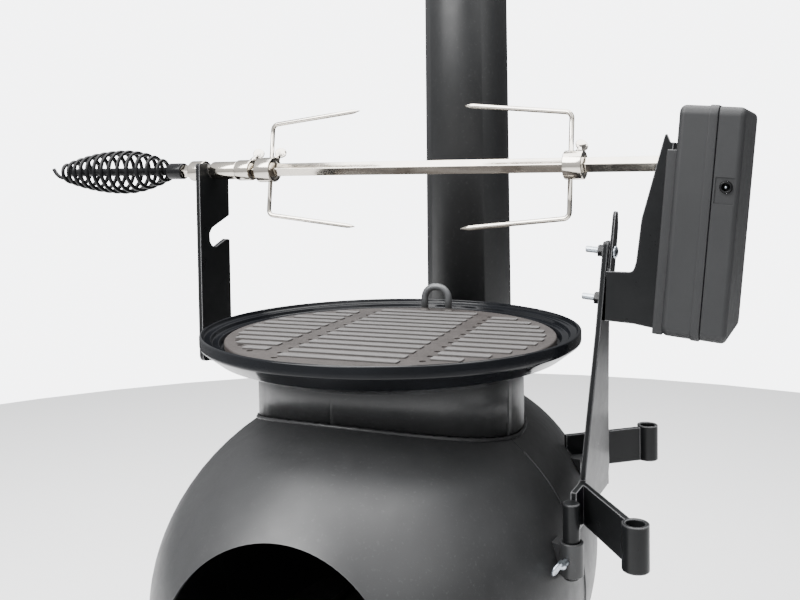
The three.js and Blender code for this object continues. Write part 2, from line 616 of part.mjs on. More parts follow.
function addDrive() {
  const square = new THREE.BoxGeometry(19, 12.6, 12.6);
  square.rotateX(Math.PI / 4 + SPIT_TILT);
  square.translate(52.5 + 5.5, 0, SHAFT_HEIGHT);
  const socketFront = 48.8;
  const barrel = join(
    rodSolid(11, [socketFront, 0, SHAFT_HEIGHT], [71, 0, SHAFT_HEIGHT], 24),
    rodSolid(6, [70, 0, SHAFT_HEIGHT], [82, 0, SHAFT_HEIGHT], 20));
  place(postKit, 'drive_socket', cut(barrel, toSolid(square)), zinc());
  const gearBore = rodSolid(11 + GAP, [60, 0, SHAFT_HEIGHT], [90, 0, SHAFT_HEIGHT], 24);
  place(postKit, 'output_gear',
    cut(gearSolid(OUTPUT_TEETH, 62, 69, SHAFT_HEIGHT, 0), gearBore), moulded());
  const idlerSmall = gearSolid(SMALL_TEETH, 61.5, 72, IDLER_HEIGHT, 0.25);
  const idlerLarge = gearSolid(LARGE_TEETH, 71.5, 77, IDLER_HEIGHT, -0.25);
  const idlerBore = rodSolid(2.5 + GAP, [55, 0, IDLER_HEIGHT], [85, 0, IDLER_HEIGHT], 12);
  place(postKit, 'idler_gear', cut(join(idlerSmall, idlerLarge), idlerBore), moulded());
  const idlerPin = rodSolid(2.5, [60.8, 0, IDLER_HEIGHT], [79, 0, IDLER_HEIGHT], 12);
  const pinionBore = rodSolid(1.2 + GAP, [60, 0, PINION_HEIGHT], [90, 0, PINION_HEIGHT], 10);
  place(postKit, 'motor_pinion',
    cut(gearSolid(PINION_TEETH, 71.5, 77, PINION_HEIGHT, 0), pinionBore), brass());
  const gearPlate = boxSolid([78.9, -30, 168], [80.4, 30, 308]);
  const plateHoles = [
    rodSolid(6 + GAP, [70, 0, SHAFT_HEIGHT], [90, 0, SHAFT_HEIGHT], 20),
    rodSolid(4, [70, 0, PINION_HEIGHT], [90, 0, PINION_HEIGHT], 16)];
  place(postKit, 'gearbox_plate', join(cut(gearPlate, ...plateHoles), idlerPin), zinc());
  const can = rodSolid(15, [80.7, 0, PINION_HEIGHT], [104, 0, PINION_HEIGHT], 24);
  const motorShaft = rodSolid(1.2, [71, 0, PINION_HEIGHT], [82, 0, PINION_HEIGHT], 10);
  place(postKit, 'drive_motor', join(can, motorShaft), zinc());
}

// ---------------------------------------------------------------- spit
const spit = new THREE.Group();
spit.position.set(0, 0, SPIT_Z);
spit.rotation.x = SPIT_TILT;
group.add(spit);

// The square rod with an edge up, down, front and back.
function squareBar(side, from, to) {
  const bar = new THREE.BoxGeometry(to - from, side, side);
  bar.rotateX(Math.PI / 4);
  bar.translate((from + to) / 2, 0, 0);
  return bar;
}

const COIL = { left: -437, right: -278, peak: -343, radius: 23.2, end: 8.5, turns: 13, wire: 2.2 };

class CoilCurve extends THREE.Curve {
  getPoint(t, target = new THREE.Vector3()) {
    const x = COIL.left + t * (COIL.right - COIL.left);
    const span = x < COIL.peak ? COIL.peak - COIL.left : COIL.right - COIL.peak;
    const away = Math.abs(x - COIL.peak) / span;
    const radius = COIL.end + (COIL.radius - COIL.end) * Math.cos((away * Math.PI) / 2) ** 0.9;
    const angle = t * COIL.turns * 2 * Math.PI;
    return target.set(x, radius * Math.cos(angle), radius * Math.sin(angle));
  }
}

// The thumb screws press on one flat of the square rod.
const SCREW_AXIS = [0, Math.SQRT1_2, Math.SQRT1_2];
const SPADE_TURN = THREE.MathUtils.degToRad(35);  // where each spade stopped turning
const STOP_SCREW_X = -170.5;

function onScrewAxis(x, distance) {
  return [x, SCREW_AXIS[1] * distance, SCREW_AXIS[2] * distance];
}

// A fork: a collar on the rod with two prongs that point along `direction`.
function addFork(name, x, direction, collarSpan, screwX) {
  const [low, high] = collarSpan;
  const collar = rodSolid(13, [low, 0, 0], [high, 0, 0], 24);
  const tines = [-1, 1].map((side) => {
    const root = side * PRONG_SPREAD;
    const curve = bentWire([
      [x, 0, side * 9], [x, 0, root],
      [x + direction * PRONG_LENGTH, 0, side * (PRONG_SPREAD + 10)],
    ], 6);
    const shaft = wireSolid(curve, PRONG_WIRE, 12, 6);
    const tipX = x + direction * PRONG_LENGTH;
    const tip = rodSolid(PRONG_WIRE, [tipX - direction * 0.5, 0, side * (PRONG_SPREAD + 10)],
      [tipX + direction * 9, 0, side * (PRONG_SPREAD + 10.8)], 6, 0.3);
    return join(shaft, tip);
  });
  const bore = toSolid(squareBar(ROD + 2 * GAP, low - 5, high + 5));
  const screwHole = rodSolid(3, onScrewAxis(screwX, 0), onScrewAxis(screwX, 20), 12);
  place(spit, name, cut(join(collar, ...tines), bore, screwHole), chrome());
  placeAlong(spit, `${name}_screw`, thumbScrewSolid(9, 6.5), onScrewAxis(screwX, 8), SCREW_AXIS, chrome(),
    SPADE_TURN);
}

function addSpit() {
  const rod = toSolid(squareBar(ROD, ROD_LEFT, ROD_RIGHT));
  place(spit, 'spit_rod', rod, chrome());
  const bore = toSolid(squareBar(ROD + 2 * GAP, -300, -150));
  const bushing = [
    rodSolid(11, [-243, 0, 0], [-224.5, 0, 0], 24),
    rodSolid(7.1, [-225, 0, 0], [-213, 0, 0], 24),
    rodSolid(9.7, [-214, 0, 0], [-180.3, 0, 0], 24),
  ];
  place(spit, 'spit_bushing', cut(join(...bushing), bore), chrome());
  const stop = rodSolid(11, [-180, 0, 0], [-162, 0, 0], 24);
  const stopScrewHole = rodSolid(3, onScrewAxis(STOP_SCREW_X, 0), onScrewAxis(STOP_SCREW_X, 20), 12);
  place(spit, 'stop_collar', cut(stop, bore, stopScrewHole), chrome());
  placeAlong(spit, 'stop_collar_screw', thumbScrewSolid(8, 8), onScrewAxis(STOP_SCREW_X, 7),
    SCREW_AXIS, chrome(), SPADE_TURN);
  const coil = wireSolid(new CoilCurve(), COIL.wire, COIL.turns * 10, 6);
  const hook = wireSolid(new THREE.CatmullRomCurve3([
    new THREE.Vector3(-436, COIL.end, 0), new THREE.Vector3(-441, 4, -6),
    new THREE.Vector3(-449, 0, -4), new THREE.Vector3(-455, -2, 4),
  ]), COIL.wire, 8, 6);
  place(spit, 'handle_coil', join(coil, hook), blackWire());
  const ferrule = rodSolid(9, [-275, 0, 0], [-255, 0, 0], 20);
  const core = rodSolid(4.6, [-430, 0, 0], [-274, 0, 0], 16);
  const ferruleBore = toSolid(squareBar(ROD + 2 * GAP, ROD_LEFT - GAP, -240));
  place(spit, 'handle_ferrule', cut(join(ferrule, core), ferruleBore), blackWire());
  addFork('fork_left', LEFT_FORK_X, 1, [-153, -134], -142);
  addFork('fork_right', RIGHT_FORK_X, -1, [178, 195.5], 187);
}

addBelly();
addFireGrate();
addLegs();
addFlue();
addCookingTop();
addSockets();
addLeftSupport();
addPost();
addBracket();
addMotorCase();
addDrive();
addSpit();

// The origin is moved to the centre of the bottom of the whole object's box.
group.updateMatrixWorld(true);
const bounds = new THREE.Box3().setFromObject(group, true);
const centre = bounds.getCenter(new THREE.Vector3());
group.position.set(-centre.x, -centre.y, -bounds.min.z);

export default group;
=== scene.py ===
"""Looks of a pot-belly wood stove that carries a motor-driven rotisserie spit.

Everything is laid out in millimetres in the object's own frame, whose origin is the centre of
the cooking dish's rim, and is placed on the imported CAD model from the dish's box.
"""
import math

import bmesh
import bpy
from mathutils import Matrix, Vector


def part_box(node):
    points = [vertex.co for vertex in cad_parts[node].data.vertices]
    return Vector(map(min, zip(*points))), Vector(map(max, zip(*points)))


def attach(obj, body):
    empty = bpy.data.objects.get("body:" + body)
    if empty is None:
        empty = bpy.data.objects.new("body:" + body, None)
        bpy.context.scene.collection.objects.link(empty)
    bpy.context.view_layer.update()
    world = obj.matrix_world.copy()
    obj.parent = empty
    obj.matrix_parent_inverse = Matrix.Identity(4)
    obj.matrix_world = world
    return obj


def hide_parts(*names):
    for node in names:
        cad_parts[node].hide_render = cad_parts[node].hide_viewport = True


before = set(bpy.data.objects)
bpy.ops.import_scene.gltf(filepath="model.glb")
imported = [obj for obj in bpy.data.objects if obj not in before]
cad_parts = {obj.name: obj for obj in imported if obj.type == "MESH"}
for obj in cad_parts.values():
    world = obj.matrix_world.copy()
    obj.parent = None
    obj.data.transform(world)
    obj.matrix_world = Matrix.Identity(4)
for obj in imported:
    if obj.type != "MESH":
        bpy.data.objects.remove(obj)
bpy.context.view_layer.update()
scene = bpy.context.scene


def turned(degrees, axis):
    return Matrix.Rotation(math.radians(degrees), 4, axis)


# ------------------------------------------------------------------ frames, in millimetres
MM = 0.001
GAP = 0.3
FLOOR = -640.0
dish_low, dish_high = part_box("dish")
ORIGIN = Vector(((dish_low.x + dish_high.x) / 2, (dish_low.y + dish_high.y) / 2, dish_high.z))

OBJECT = Matrix.Translation(ORIGIN) @ Matrix.Scale(MM, 4)
STOVE = OBJECT @ turned(3.5, "Z")
GRILL = OBJECT @ turned(7, "Z")
SPIT = OBJECT @ Matrix.Translation((0, 0, 155)) @ turned(-7, "X")
KIT = OBJECT @ Matrix.Translation((198, 0, -125)) @ turned(5, "Y")


# ------------------------------------------------------------------ mesh helpers
def new_mesh(name, vertices, faces, frame_matrix):
    """A mesh from millimetre vertices in one of the frames, its normals turned outwards."""
    name = name.replace(" ", "_")
    mesh = bpy.data.meshes.new(name)
    mesh.from_pydata([frame_matrix @ Vector(v) for v in vertices], [], faces)
    mesh.validate()
    work = bmesh.new()
    work.from_mesh(mesh)
    bmesh.ops.remove_doubles(work, verts=work.verts, dist=1e-7)
    bmesh.ops.recalc_face_normals(work, faces=work.faces)
    work.to_mesh(mesh)
    work.free()
    obj = bpy.data.objects.new(name, mesh)
    scene.collection.objects.link(obj)
    mesh.polygons.foreach_set("use_smooth", [True] * len(mesh.polygons))
    return obj


def around(sides):
    """The angles of a circle's points, from 0."""
    return [2 * math.pi * side / sides for side in range(sides)]


def ring_faces(rings, sides, first=0, closed=False):
    """Quads between neighbouring rings of vertices, the first of which starts at index first."""
    faces = []
    for ring in range(rings if closed else rings - 1):
        low, high = first + ring * sides, first + (ring + 1) % rings * sides
        for side in range(sides):
            after = (side + 1) % sides
            faces.append((low + side, low + after, high + after, high + side))
    return faces


def applied(obj, kind, **settings):
    """Adds one modifier with the given settings and applies it."""
    modifier = obj.modifiers.new(kind.title(), kind)
    for key, value in settings.items():
        setattr(modifier, key, value)
    bpy.context.view_layer.update()
    graph = bpy.context.evaluated_depsgraph_get()
    baked = bpy.data.meshes.new_from_object(obj.evaluated_get(graph))
    obj.modifiers.clear()
    obj.data = baked
    return obj


def united(base, *others, operation="UNION"):
    """Joins others into base, or cuts them out of it, and removes them."""
    for other in others:
        applied(base, "BOOLEAN", object=other, operation=operation, solver="EXACT")
        bpy.data.objects.remove(other)
    return base


def cut(base, *tools):
    return united(base, *tools, operation="DIFFERENCE")


def cut_copy(base, tool):
    """Cuts tool out of base and keeps tool."""
    return applied(base, "BOOLEAN", object=tool, operation="DIFFERENCE", solver="EXACT")


def joined(objects):
    """Makes one object of several that don't touch one another."""
    work = bmesh.new()
    for obj in objects:
        work.from_mesh(obj.data)
    work.to_mesh(objects[0].data)
    work.free()
    for obj in objects[1:]:
        bpy.data.objects.remove(obj)
    return objects[0]


def bevelled(obj, width, segments=3, limit=30):
    """Rounds the edges sharper than limit degrees and evens the shading. Width in millimetres."""
    applied(obj, "BEVEL", width=width * MM, segments=segments, limit_method="ANGLE",
            angle_limit=math.radians(limit), miter_outer="MITER_ARC", use_clamp_overlap=True)
    obj.data.polygons.foreach_set("use_smooth", [True] * len(obj.data.polygons))
    return applied(obj, "WEIGHTED_NORMAL", keep_sharp=True, weight=80)


def crisp(obj, limit=28):
    """Evens the shading of rounded faces and keeps the edges sharper than limit degrees."""
    obj.data.set_sharp_from_angle(angle=math.radians(limit))
    return applied(obj, "WEIGHTED_NORMAL", keep_sharp=True, weight=90)


def rounded(points, radius, steps=6, closed=True):
    """A polyline in 2D or 3D with its corners filleted. radius is one number or one per point."""
    count = len(points)
    radii = radius if isinstance(radius, (list, tuple)) else [radius] * count
    result = []
    for index, point in enumerate(points):
        corner = Vector(point)
        if (not closed and index in (0, count - 1)) or radii[index] <= 0:
            result.append(tuple(corner))
            continue
        before = Vector(points[index - 1]) - corner
        after = Vector(points[(index + 1) % count]) - corner
        angle = before.angle(after)
        if angle > math.radians(176):
            result.append(tuple(corner))
            continue
        reach = min(radii[index] / math.tan(angle / 2), before.length * 0.49, after.length * 0.49)
        actual = reach * math.tan(angle / 2)
        middle = (before.normalized() + after.normalized()).normalized()
        centre = corner + middle * (actual / math.sin(angle / 2))
        start = corner + before.normalized() * reach - centre
        end = corner + after.normalized() * reach - centre
        sweep_angle = start.angle(end)
        for step in range(steps + 1):
            share = step / steps
            near = math.sin((1 - share) * sweep_angle) / math.sin(sweep_angle)
            far = math.sin(share * sweep_angle) / math.sin(sweep_angle)
            result.append(tuple(centre + start * near + end * far))
    return result


def filleted(corners, steps=6):
    """A closed outline from (point, radius) corners."""
    return rounded([spot for spot, _ in corners], [radius for _, radius in corners], steps)


def lathe(name, profile, frame_matrix, sides=64, centre=(0, 0, 0), axis="Z"):
    """A closed [radius, height] profile turned about an axis through centre."""
    vertices, faces = [], []
    count = len(profile)
    for angle in around(sides):
        for radius, height in profile:
            across, up = radius * math.cos(angle), radius * math.sin(angle)
            spot = (across, up, height) if axis == "Z" else (height, across, up)
            vertices.append([spot[k] + centre[k] for k in range(3)])
    for side in range(sides):
        base, following = side * count, ((side + 1) % sides) * count
        for index in range(count):
            after = (index + 1) % count
            faces.append((base + index, following + index, following + after, base + after))
    return cleaned(new_mesh(name, vertices, faces, frame_matrix))


def cleaned(obj):
    """Merges the points that fall together on an axis, and drops bare edges and empty faces."""
    distance = 1e-6
    work = bmesh.new()
    work.from_mesh(obj.data)
    bmesh.ops.remove_doubles(work, verts=work.verts, dist=distance)
    bmesh.ops.dissolve_degenerate(work, edges=work.edges, dist=distance)
    bare = [edge for edge in work.edges if not edge.link_faces]
    bmesh.ops.delete(work, geom=bare, context="EDGES")
    bmesh.ops.recalc_face_normals(work, faces=work.faces)
    work.to_mesh(obj.data)
    work.free()
    return obj


def sweep(name, points, radius, frame_matrix, sides=16, dome=True):
    """A round bar along a path. radius is one number or one per point; the ends are domed."""
    path = [Vector(p) for p in points]
    radii = list(radius) if isinstance(radius, (list, tuple)) else [radius] * len(path)
    if dome:
        for end, inward in ((0, 1), (-1, -2)):
            outward = (path[end] - path[inward]).normalized()
            tip, tip_radius = path[end], radii[end]
            extra = [(tip + outward * tip_radius * 0.35 * math.sin(a), tip_radius * math.cos(a))
                     for a in (math.radians(35), math.radians(65), math.radians(84))]
            spots, sizes = [e[0] for e in extra], [e[1] for e in extra]
            if end == 0:
                path, radii = spots[::-1] + path, sizes[::-1] + radii
            else:
                path, radii = path + spots, radii + sizes
    vertices = []
    tangent = (path[1] - path[0]).normalized()
    normal = tangent.orthogonal().normalized()
    for index, point in enumerate(path):
        ahead = path[min(index + 1, len(path) - 1)]
        behind = path[max(index - 1, 0)]
        turned_to = (ahead - behind).normalized()
        normal = (tangent.rotation_difference(turned_to) @ normal).normalized()
        normal = (normal - turned_to * normal.dot(turned_to)).normalized()
        tangent = turned_to
        other = tangent.cross(normal)
        for angle in around(sides):
            outward = normal * math.cos(angle) + other * math.sin(angle)
            vertices.append(point + outward * radii[index])
    ends = [tuple(range(sides))[::-1], tuple(range((len(path) - 1) * sides, len(path) * sides))]
    return new_mesh(name, vertices, ring_faces(len(path), sides) + ends, frame_matrix)


def ring_bar(name, points, radii, frame_matrix, sides=10):
    """A round bar along a closed path."""
    path = [Vector(p) for p in points]
    count = len(path)
    vertices = []
    up = Vector((0, 0, 1))
    for index, point in enumerate(path):
        tangent = (path[(index + 1) % count] - path[index - 1]).normalized()
        normal = tangent.cross(up).normalized()
        other = tangent.cross(normal)
        for angle in around(sides):
            outward = normal * math.cos(angle) + other * math.sin(angle)
            vertices.append(point + outward * radii[index])
    return new_mesh(name, vertices, ring_faces(count, sides, closed=True), frame_matrix)


def sheet(name, outline, start, thickness, frame_matrix, across="X"):
    """An outline extruded along X, Y or Z, and drawn in the other two coordinates, in order."""
    order = {"X": (1, 2), "Y": (0, 2), "Z": (0, 1)}[across]
    along = {"X": 0, "Y": 1, "Z": 2}[across]
    vertices = []
    for level in (start, start + thickness):
        for first, second in outline:
            spot = [0, 0, 0]
            spot[order[0]], spot[order[1]], spot[along] = first, second, level
            vertices.append(spot)
    count = len(outline)
    faces = [tuple(range(count)), tuple(range(2 * count - 1, count - 1, -1))]
    for index in range(count):
        after = (index + 1) % count
        faces.append((index, after, count + after, count + index))
    return new_mesh(name, vertices, faces, frame_matrix)


def block(name, low, high, frame_matrix):
    outline = [(low[0], low[1]), (high[0], low[1]), (high[0], high[1]), (low[0], high[1])]
    return sheet(name, outline, low[2], high[2] - low[2], frame_matrix, "Z")


def bar(name, start, end, bottom, top, thickness, frame_matrix):
    """An upright flat bar between two plan points."""
    a, b = Vector(start), Vector(end)
    side = (b - a).normalized()
    side = Vector((-side.y, side.x)) * thickness / 2
    outline = [tuple(a - side), tuple(b - side), tuple(b + side), tuple(a + side)]
    return sheet(name, outline, bottom, top - bottom, frame_matrix, "Z")


def cylinder(name, radius, start, end, frame_matrix, sides=32):
    return sweep(name, [start, end], radius, frame_matrix, sides, dome=False)


def toward(frame_matrix, start, end):
    """The frame whose origin is start and whose Z runs towards end."""
    direction = Vector(end) - Vector(start)
    turn = Vector((0, 0, 1)).rotation_difference(direction.normalized()).to_matrix().to_4x4()
    return frame_matrix @ Matrix.Translation(start) @ turn


def tube(name, outer, inner, start, end, frame_matrix, sides=40, lip=0.8):
    """A round tube between two points, its four edges rounded by lip."""
    length = (Vector(end) - Vector(start)).length
    profile = rounded([(inner, 0), (outer, 0), (outer, length), (inner, length)], lip, 3)
    return lathe(name, profile, toward(frame_matrix, start, end), sides)


# ------------------------------------------------------------------ materials
def surface(name, base, shade, roughness, metallic=0.0, specular=0.5, ior=1.5, blotch=14.0,
            grain=1400.0, grain_depth=0.00003, streak=None, edge_wear_and_highlight=None, edge_wear_and_highlight_amount=0.0, edge=0.0012,
            dust=0.0, painted_top_light=None):
    """A finish made of noise in the object's own coordinates.

    base and shade are the two colours that large patches drift between; roughness is a (low,
    high) pair; grain is the size of the fine bump; streak stretches it along one axis; the edge
    colour and its amount mix a lighter colour onto rounded edges, edge wear together with a
    painted highlight where edges and folds catch the light; dust lightens scattered specks; the
    top colour, given as (low height, high height, colour), takes over towards the top, a painted
    highlight on raised tops that leaves the lower floors looking shaded.
    """
    material = bpy.data.materials.new(name)
    material.use_nodes = True
    nodes, links = material.node_tree.nodes, material.node_tree.links
    nodes.clear()
    output = nodes.new("ShaderNodeOutputMaterial")
    shader = nodes.new("ShaderNodeBsdfPrincipled")
    links.new(shader.outputs["BSDF"], output.inputs["Surface"])
    shader.inputs["Metallic"].default_value = metallic
    shader.inputs["Specular IOR Level"].default_value = specular
    shader.inputs["IOR"].default_value = ior
    coordinates = nodes.new("ShaderNodeTexCoord").outputs["Object"]
    if streak:
        stretch = nodes.new("ShaderNodeMapping")
        stretch.inputs["Scale"].default_value = streak
        links.new(coordinates, stretch.inputs["Vector"])
        fine_coordinates = stretch.outputs["Vector"]
    else:
        fine_coordinates = coordinates

    def noise(scale, detail, rough, vector):
        node = nodes.new("ShaderNodeTexNoise")
        node.inputs["Scale"].default_value = scale
        node.inputs["Detail"].default_value = detail
        node.inputs["Roughness"].default_value = rough
        links.new(vector, node.inputs["Vector"])
        return node.outputs["Fac"]

    def ranged(value, low, high, new_low, new_high):
        node = nodes.new("ShaderNodeMapRange")
        for socket, number in zip(("From Min", "From Max", "To Min", "To Max"),
                                  (low, high, new_low, new_high)):
            node.inputs[socket].default_value = number
        links.new(value, node.inputs["Value"])
        return node.outputs["Result"]

    def mixed(factor, first, second):
        node = nodes.new("ShaderNodeMix")
        node.data_type = "RGBA"
        links.new(factor, node.inputs["Factor"])
        for socket, value in ((node.inputs[6], first), (node.inputs[7], second)):
            if isinstance(value, tuple):
                socket.default_value = (*value, 1)
            else:
                links.new(value, socket)
        return node.outputs[2]

    patches = noise(blotch, 6, 0.6, coordinates)
    fine = noise(grain, 4, 0.6, fine_coordinates)
    smudges = noise(blotch * 5, 8, 0.7, coordinates)
    colour = mixed(ranged(patches, 0.35, 0.68, 0, 1), base, shade)
    if dust:
        specks = ranged(noise(grain * 0.35, 3, 0.5, coordinates), 0.6, 0.78, 0, dust)
        colour = mixed(specks, colour, tuple(min(1, c * 2.2 + 0.05) for c in base))
    # Painted highlight and shade by height: the colour turns lighter towards the top, so raised tops
    # read as lit and the lower floors between them read as shaded.
    if painted_top_light:
        height = nodes.new("ShaderNodeSeparateXYZ")
        links.new(coordinates, height.inputs["Vector"])
        top_light_share = ranged(height.outputs["Z"], painted_top_light[0], painted_top_light[1], 0, 1)
        colour = mixed(top_light_share, colour, mixed(patches, painted_top_light[2], tuple(c * 0.7 for c in painted_top_light[2])))
    # Edge wear together with a painted edge highlight: where the rounded (bevel) normal turns away from
    # the surface normal, the colour is mixed towards a lighter edge colour, standing for worn edges and
    # for edges and folds catching the light.
    if edge_wear_and_highlight:
        soft = nodes.new("ShaderNodeBevel")
        soft.samples = 4
        soft.inputs["Radius"].default_value = edge
        compare = nodes.new("ShaderNodeVectorMath")
        compare.operation = "DOT_PRODUCT"
        geometry = nodes.new("ShaderNodeNewGeometry")
        links.new(soft.outputs["Normal"], compare.inputs[0])
        links.new(geometry.outputs["Normal"], compare.inputs[1])
        worn_and_highlit_edges = ranged(compare.outputs["Value"], 0.995, 0.86, 0, edge_wear_and_highlight_amount)
        colour = mixed(worn_and_highlit_edges, colour, edge_wear_and_highlight)
    links.new(colour, shader.inputs["Base Color"])
    links.new(ranged(smudges, 0.3, 0.72, *roughness), shader.inputs["Roughness"])
    bump = nodes.new("ShaderNodeBump")
    bump.inputs["Strength"].default_value = 1.0
    bump.inputs["Distance"].default_value = grain_depth
    links.new(fine, bump.inputs["Height"])
    links.new(bump.outputs["Normal"], shader.inputs["Normal"])
    return material


# The lighter edge colours given below to the stove, flue and frame paints and to the moulded plastic
# are edge wear together with a painted edge highlight.
STOVE_PAINT = surface("stove paint", (0.0150, 0.0153, 0.0158), (0.0200, 0.0204, 0.0210),
                      (0.36, 0.46), specular=0.38, grain=1100, grain_depth=0.00004,
                      edge_wear_and_highlight=(0.06, 0.06, 0.06), edge_wear_and_highlight_amount=0.3, dust=0.2)
FLUE_PAINT = surface("flue paint", (0.0055, 0.0057, 0.0060), (0.0072, 0.0075, 0.0079),
                     (0.38, 0.48), specular=0.3, grain=900, grain_depth=0.00003,
                     streak=(1, 1, 0.08), edge_wear_and_highlight=(0.04, 0.04, 0.04), edge_wear_and_highlight_amount=0.3, dust=0.15)
ENAMEL = surface("enamel", (0.004, 0.0044, 0.0052), (0.006, 0.0065, 0.0078), (0.07, 0.14),
                 ior=1.24, grain=160, grain_depth=0.00006)
CAST_IRON = surface("cast iron", (0.040, 0.036, 0.034), (0.058, 0.052, 0.049), (0.55, 0.78),
                    specular=0.3, blotch=22, grain=700, grain_depth=0.0002, dust=0.3)
# Grill iron: the lighter colour that takes over at the rib tops is a painted highlight on the ribs. The
# darker base colour left in the grooves between them is painted shade.
GRILL_IRON = surface("grill iron", (0.026, 0.022, 0.0205), (0.038, 0.033, 0.031), (0.5, 0.72),
                     specular=0.3, blotch=22, grain=700, grain_depth=0.0004, dust=0.3,
                     painted_top_light=(ORIGIN.z - 0.0077, ORIGIN.z - 0.0068, (0.100, 0.096, 0.095)))
LOOP_STEEL = surface("loop steel", (0.07, 0.072, 0.075), (0.105, 0.107, 0.11), (0.35, 0.5),
                     metallic=0.5, specular=0.4, grain=500, grain_depth=0.0001)
FRAME_BLACK = surface("frame black", (0.0042, 0.0045, 0.0048), (0.0065, 0.0068, 0.0072),
                      (0.26, 0.36), ior=1.27, grain=1000, grain_depth=0.00003,
                      edge_wear_and_highlight=(0.22, 0.22, 0.225), edge_wear_and_highlight_amount=0.9, edge=0.0015)
CHROME = surface("chrome", (0.56, 0.52, 0.455), (0.46, 0.43, 0.385), (0.08, 0.17), metallic=1.0,
                 grain=260, grain_depth=0.00005, blotch=30, streak=(0.15, 1, 1))
ZINC = surface("zinc", (0.42, 0.46, 0.50), (0.31, 0.345, 0.38), (0.25, 0.42), metallic=1.0,
               grain=900, grain_depth=0.00004, blotch=60)
BLACK_WIRE = surface("black wire", (0.0035, 0.0035, 0.004), (0.006, 0.006, 0.0065), (0.16, 0.28),
                     ior=1.25, grain=500, grain_depth=0.00003)
MOULDED = surface("moulded plastic", (0.0095, 0.0098, 0.0104), (0.0120, 0.0124, 0.0130),
                  (0.48, 0.6), specular=0.32, grain=2400, grain_depth=0.00008,
                  edge_wear_and_highlight=(0.035, 0.035, 0.036), edge_wear_and_highlight_amount=0.25)
NYLON = surface("nylon", (0.40, 0.385, 0.35), (0.34, 0.325, 0.295), (0.4, 0.55), grain=1500)
BRASS = surface("brass", (0.50, 0.35, 0.14), (0.40, 0.28, 0.12), (0.25, 0.4), metallic=1.0)
RUBBER = surface("rubber", (0.008, 0.008, 0.0085), (0.013, 0.013, 0.0135), (0.7, 0.85),
                 specular=0.25, grain=1800, grain_depth=0.0001)
SLOT_MATERIAL = {
    "stove_paint": STOVE_PAINT, "enamel": ENAMEL, "cast_iron": CAST_IRON,
    "frame_black": FRAME_BLACK, "chrome": CHROME, "zinc": ZINC, "black_wire": BLACK_WIRE,
    "moulded": MOULDED, "nylon": NYLON, "brass": BRASS, "rubber": RUBBER,
}


def piece(obj, body, slot_name, *nodes, material=None):
    """Gives a finished piece its finish, hangs it on the body it rides and hides the CAD nodes it
    stands for.
    """
    if slot_name == "frame_black":
        crisp(obj, 35)
    obj.data.materials.clear()
    obj.data.materials.append(material or SLOT_MATERIAL[slot_name])
    if nodes:
        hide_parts(*nodes)
    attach(obj, body)
    return obj


# ------------------------------------------------------------------ belly, neck and fire box
BELLY = {"x": 195.7, "z": 171.5, "front": 251.5, "rear": 347.0, "height": -222.0, "seam": -25.0}
SHELL = 3.0
NECK_RADIUS = 130.0
NECK_TOP = -36.0
FIRE_MOUTH = {"x": 9.0, "z": -226.0, "radius": 100.0}


def egg_point(polar, turn, depth, offset=0.0):
    """A point of the belly: polar 0 is its front or rear tip, 90 degrees its seam."""
    length = math.copysign(abs(depth) + offset, depth)
    return (
        (BELLY["x"] + offset) * math.sin(polar) * math.cos(turn),
        BELLY["seam"] + length * math.cos(polar),
        BELLY["height"] + (BELLY["z"] + offset) * math.sin(polar) * math.sin(turn),
    )


def egg_half(name, depth, layers, edge=0.0, rings=26, sides=96):
    """Half of the belly as a closed solid from the given offsets, seam edge pulled back by edge."""
    vertices, faces = [], []
    pull = math.copysign(edge, depth)
    for layer in layers:
        for ring in range(rings + 1):
            for angle in around(sides):
                x, y, z = egg_point(ring / rings * math.pi / 2, angle, depth, layer)
                vertices.append((x, y + (pull if ring == rings else 0), z))
    size = (rings + 1) * sides
    for layer in range(len(layers)):
        faces += ring_faces(rings + 1, sides, layer * size)
    last = rings * sides
    if len(layers) == 1:
        faces.append(tuple(range(last, last + sides)))
    else:
        for side in range(sides):
            after = (side + 1) % sides
            faces.append((last + side, last + after, size + last + after, size + last + side))
    return cleaned(new_mesh(name, vertices, faces, STOVE))


def egg_solid(name, offset):
    """The whole belly, filled, grown by an offset."""
    front = egg_half(name, -BELLY["front"], [offset], edge=-2.0)
    rear = egg_half(name + " rear", BELLY["rear"], [offset], edge=-2.0)
    return united(front, rear)


def belly_core():
    """The filled belly with the gap that touching pieces keep, to cut other pieces with."""
    return egg_solid("belly core", GAP)


def belly_height(x, y):
    depth = BELLY["rear"] if y > BELLY["seam"] else BELLY["front"]
    share = 1 - (x / BELLY["x"]) ** 2 - ((y - BELLY["seam"]) / depth) ** 2
    return BELLY["height"] + BELLY["z"] * math.sqrt(max(share, 0))


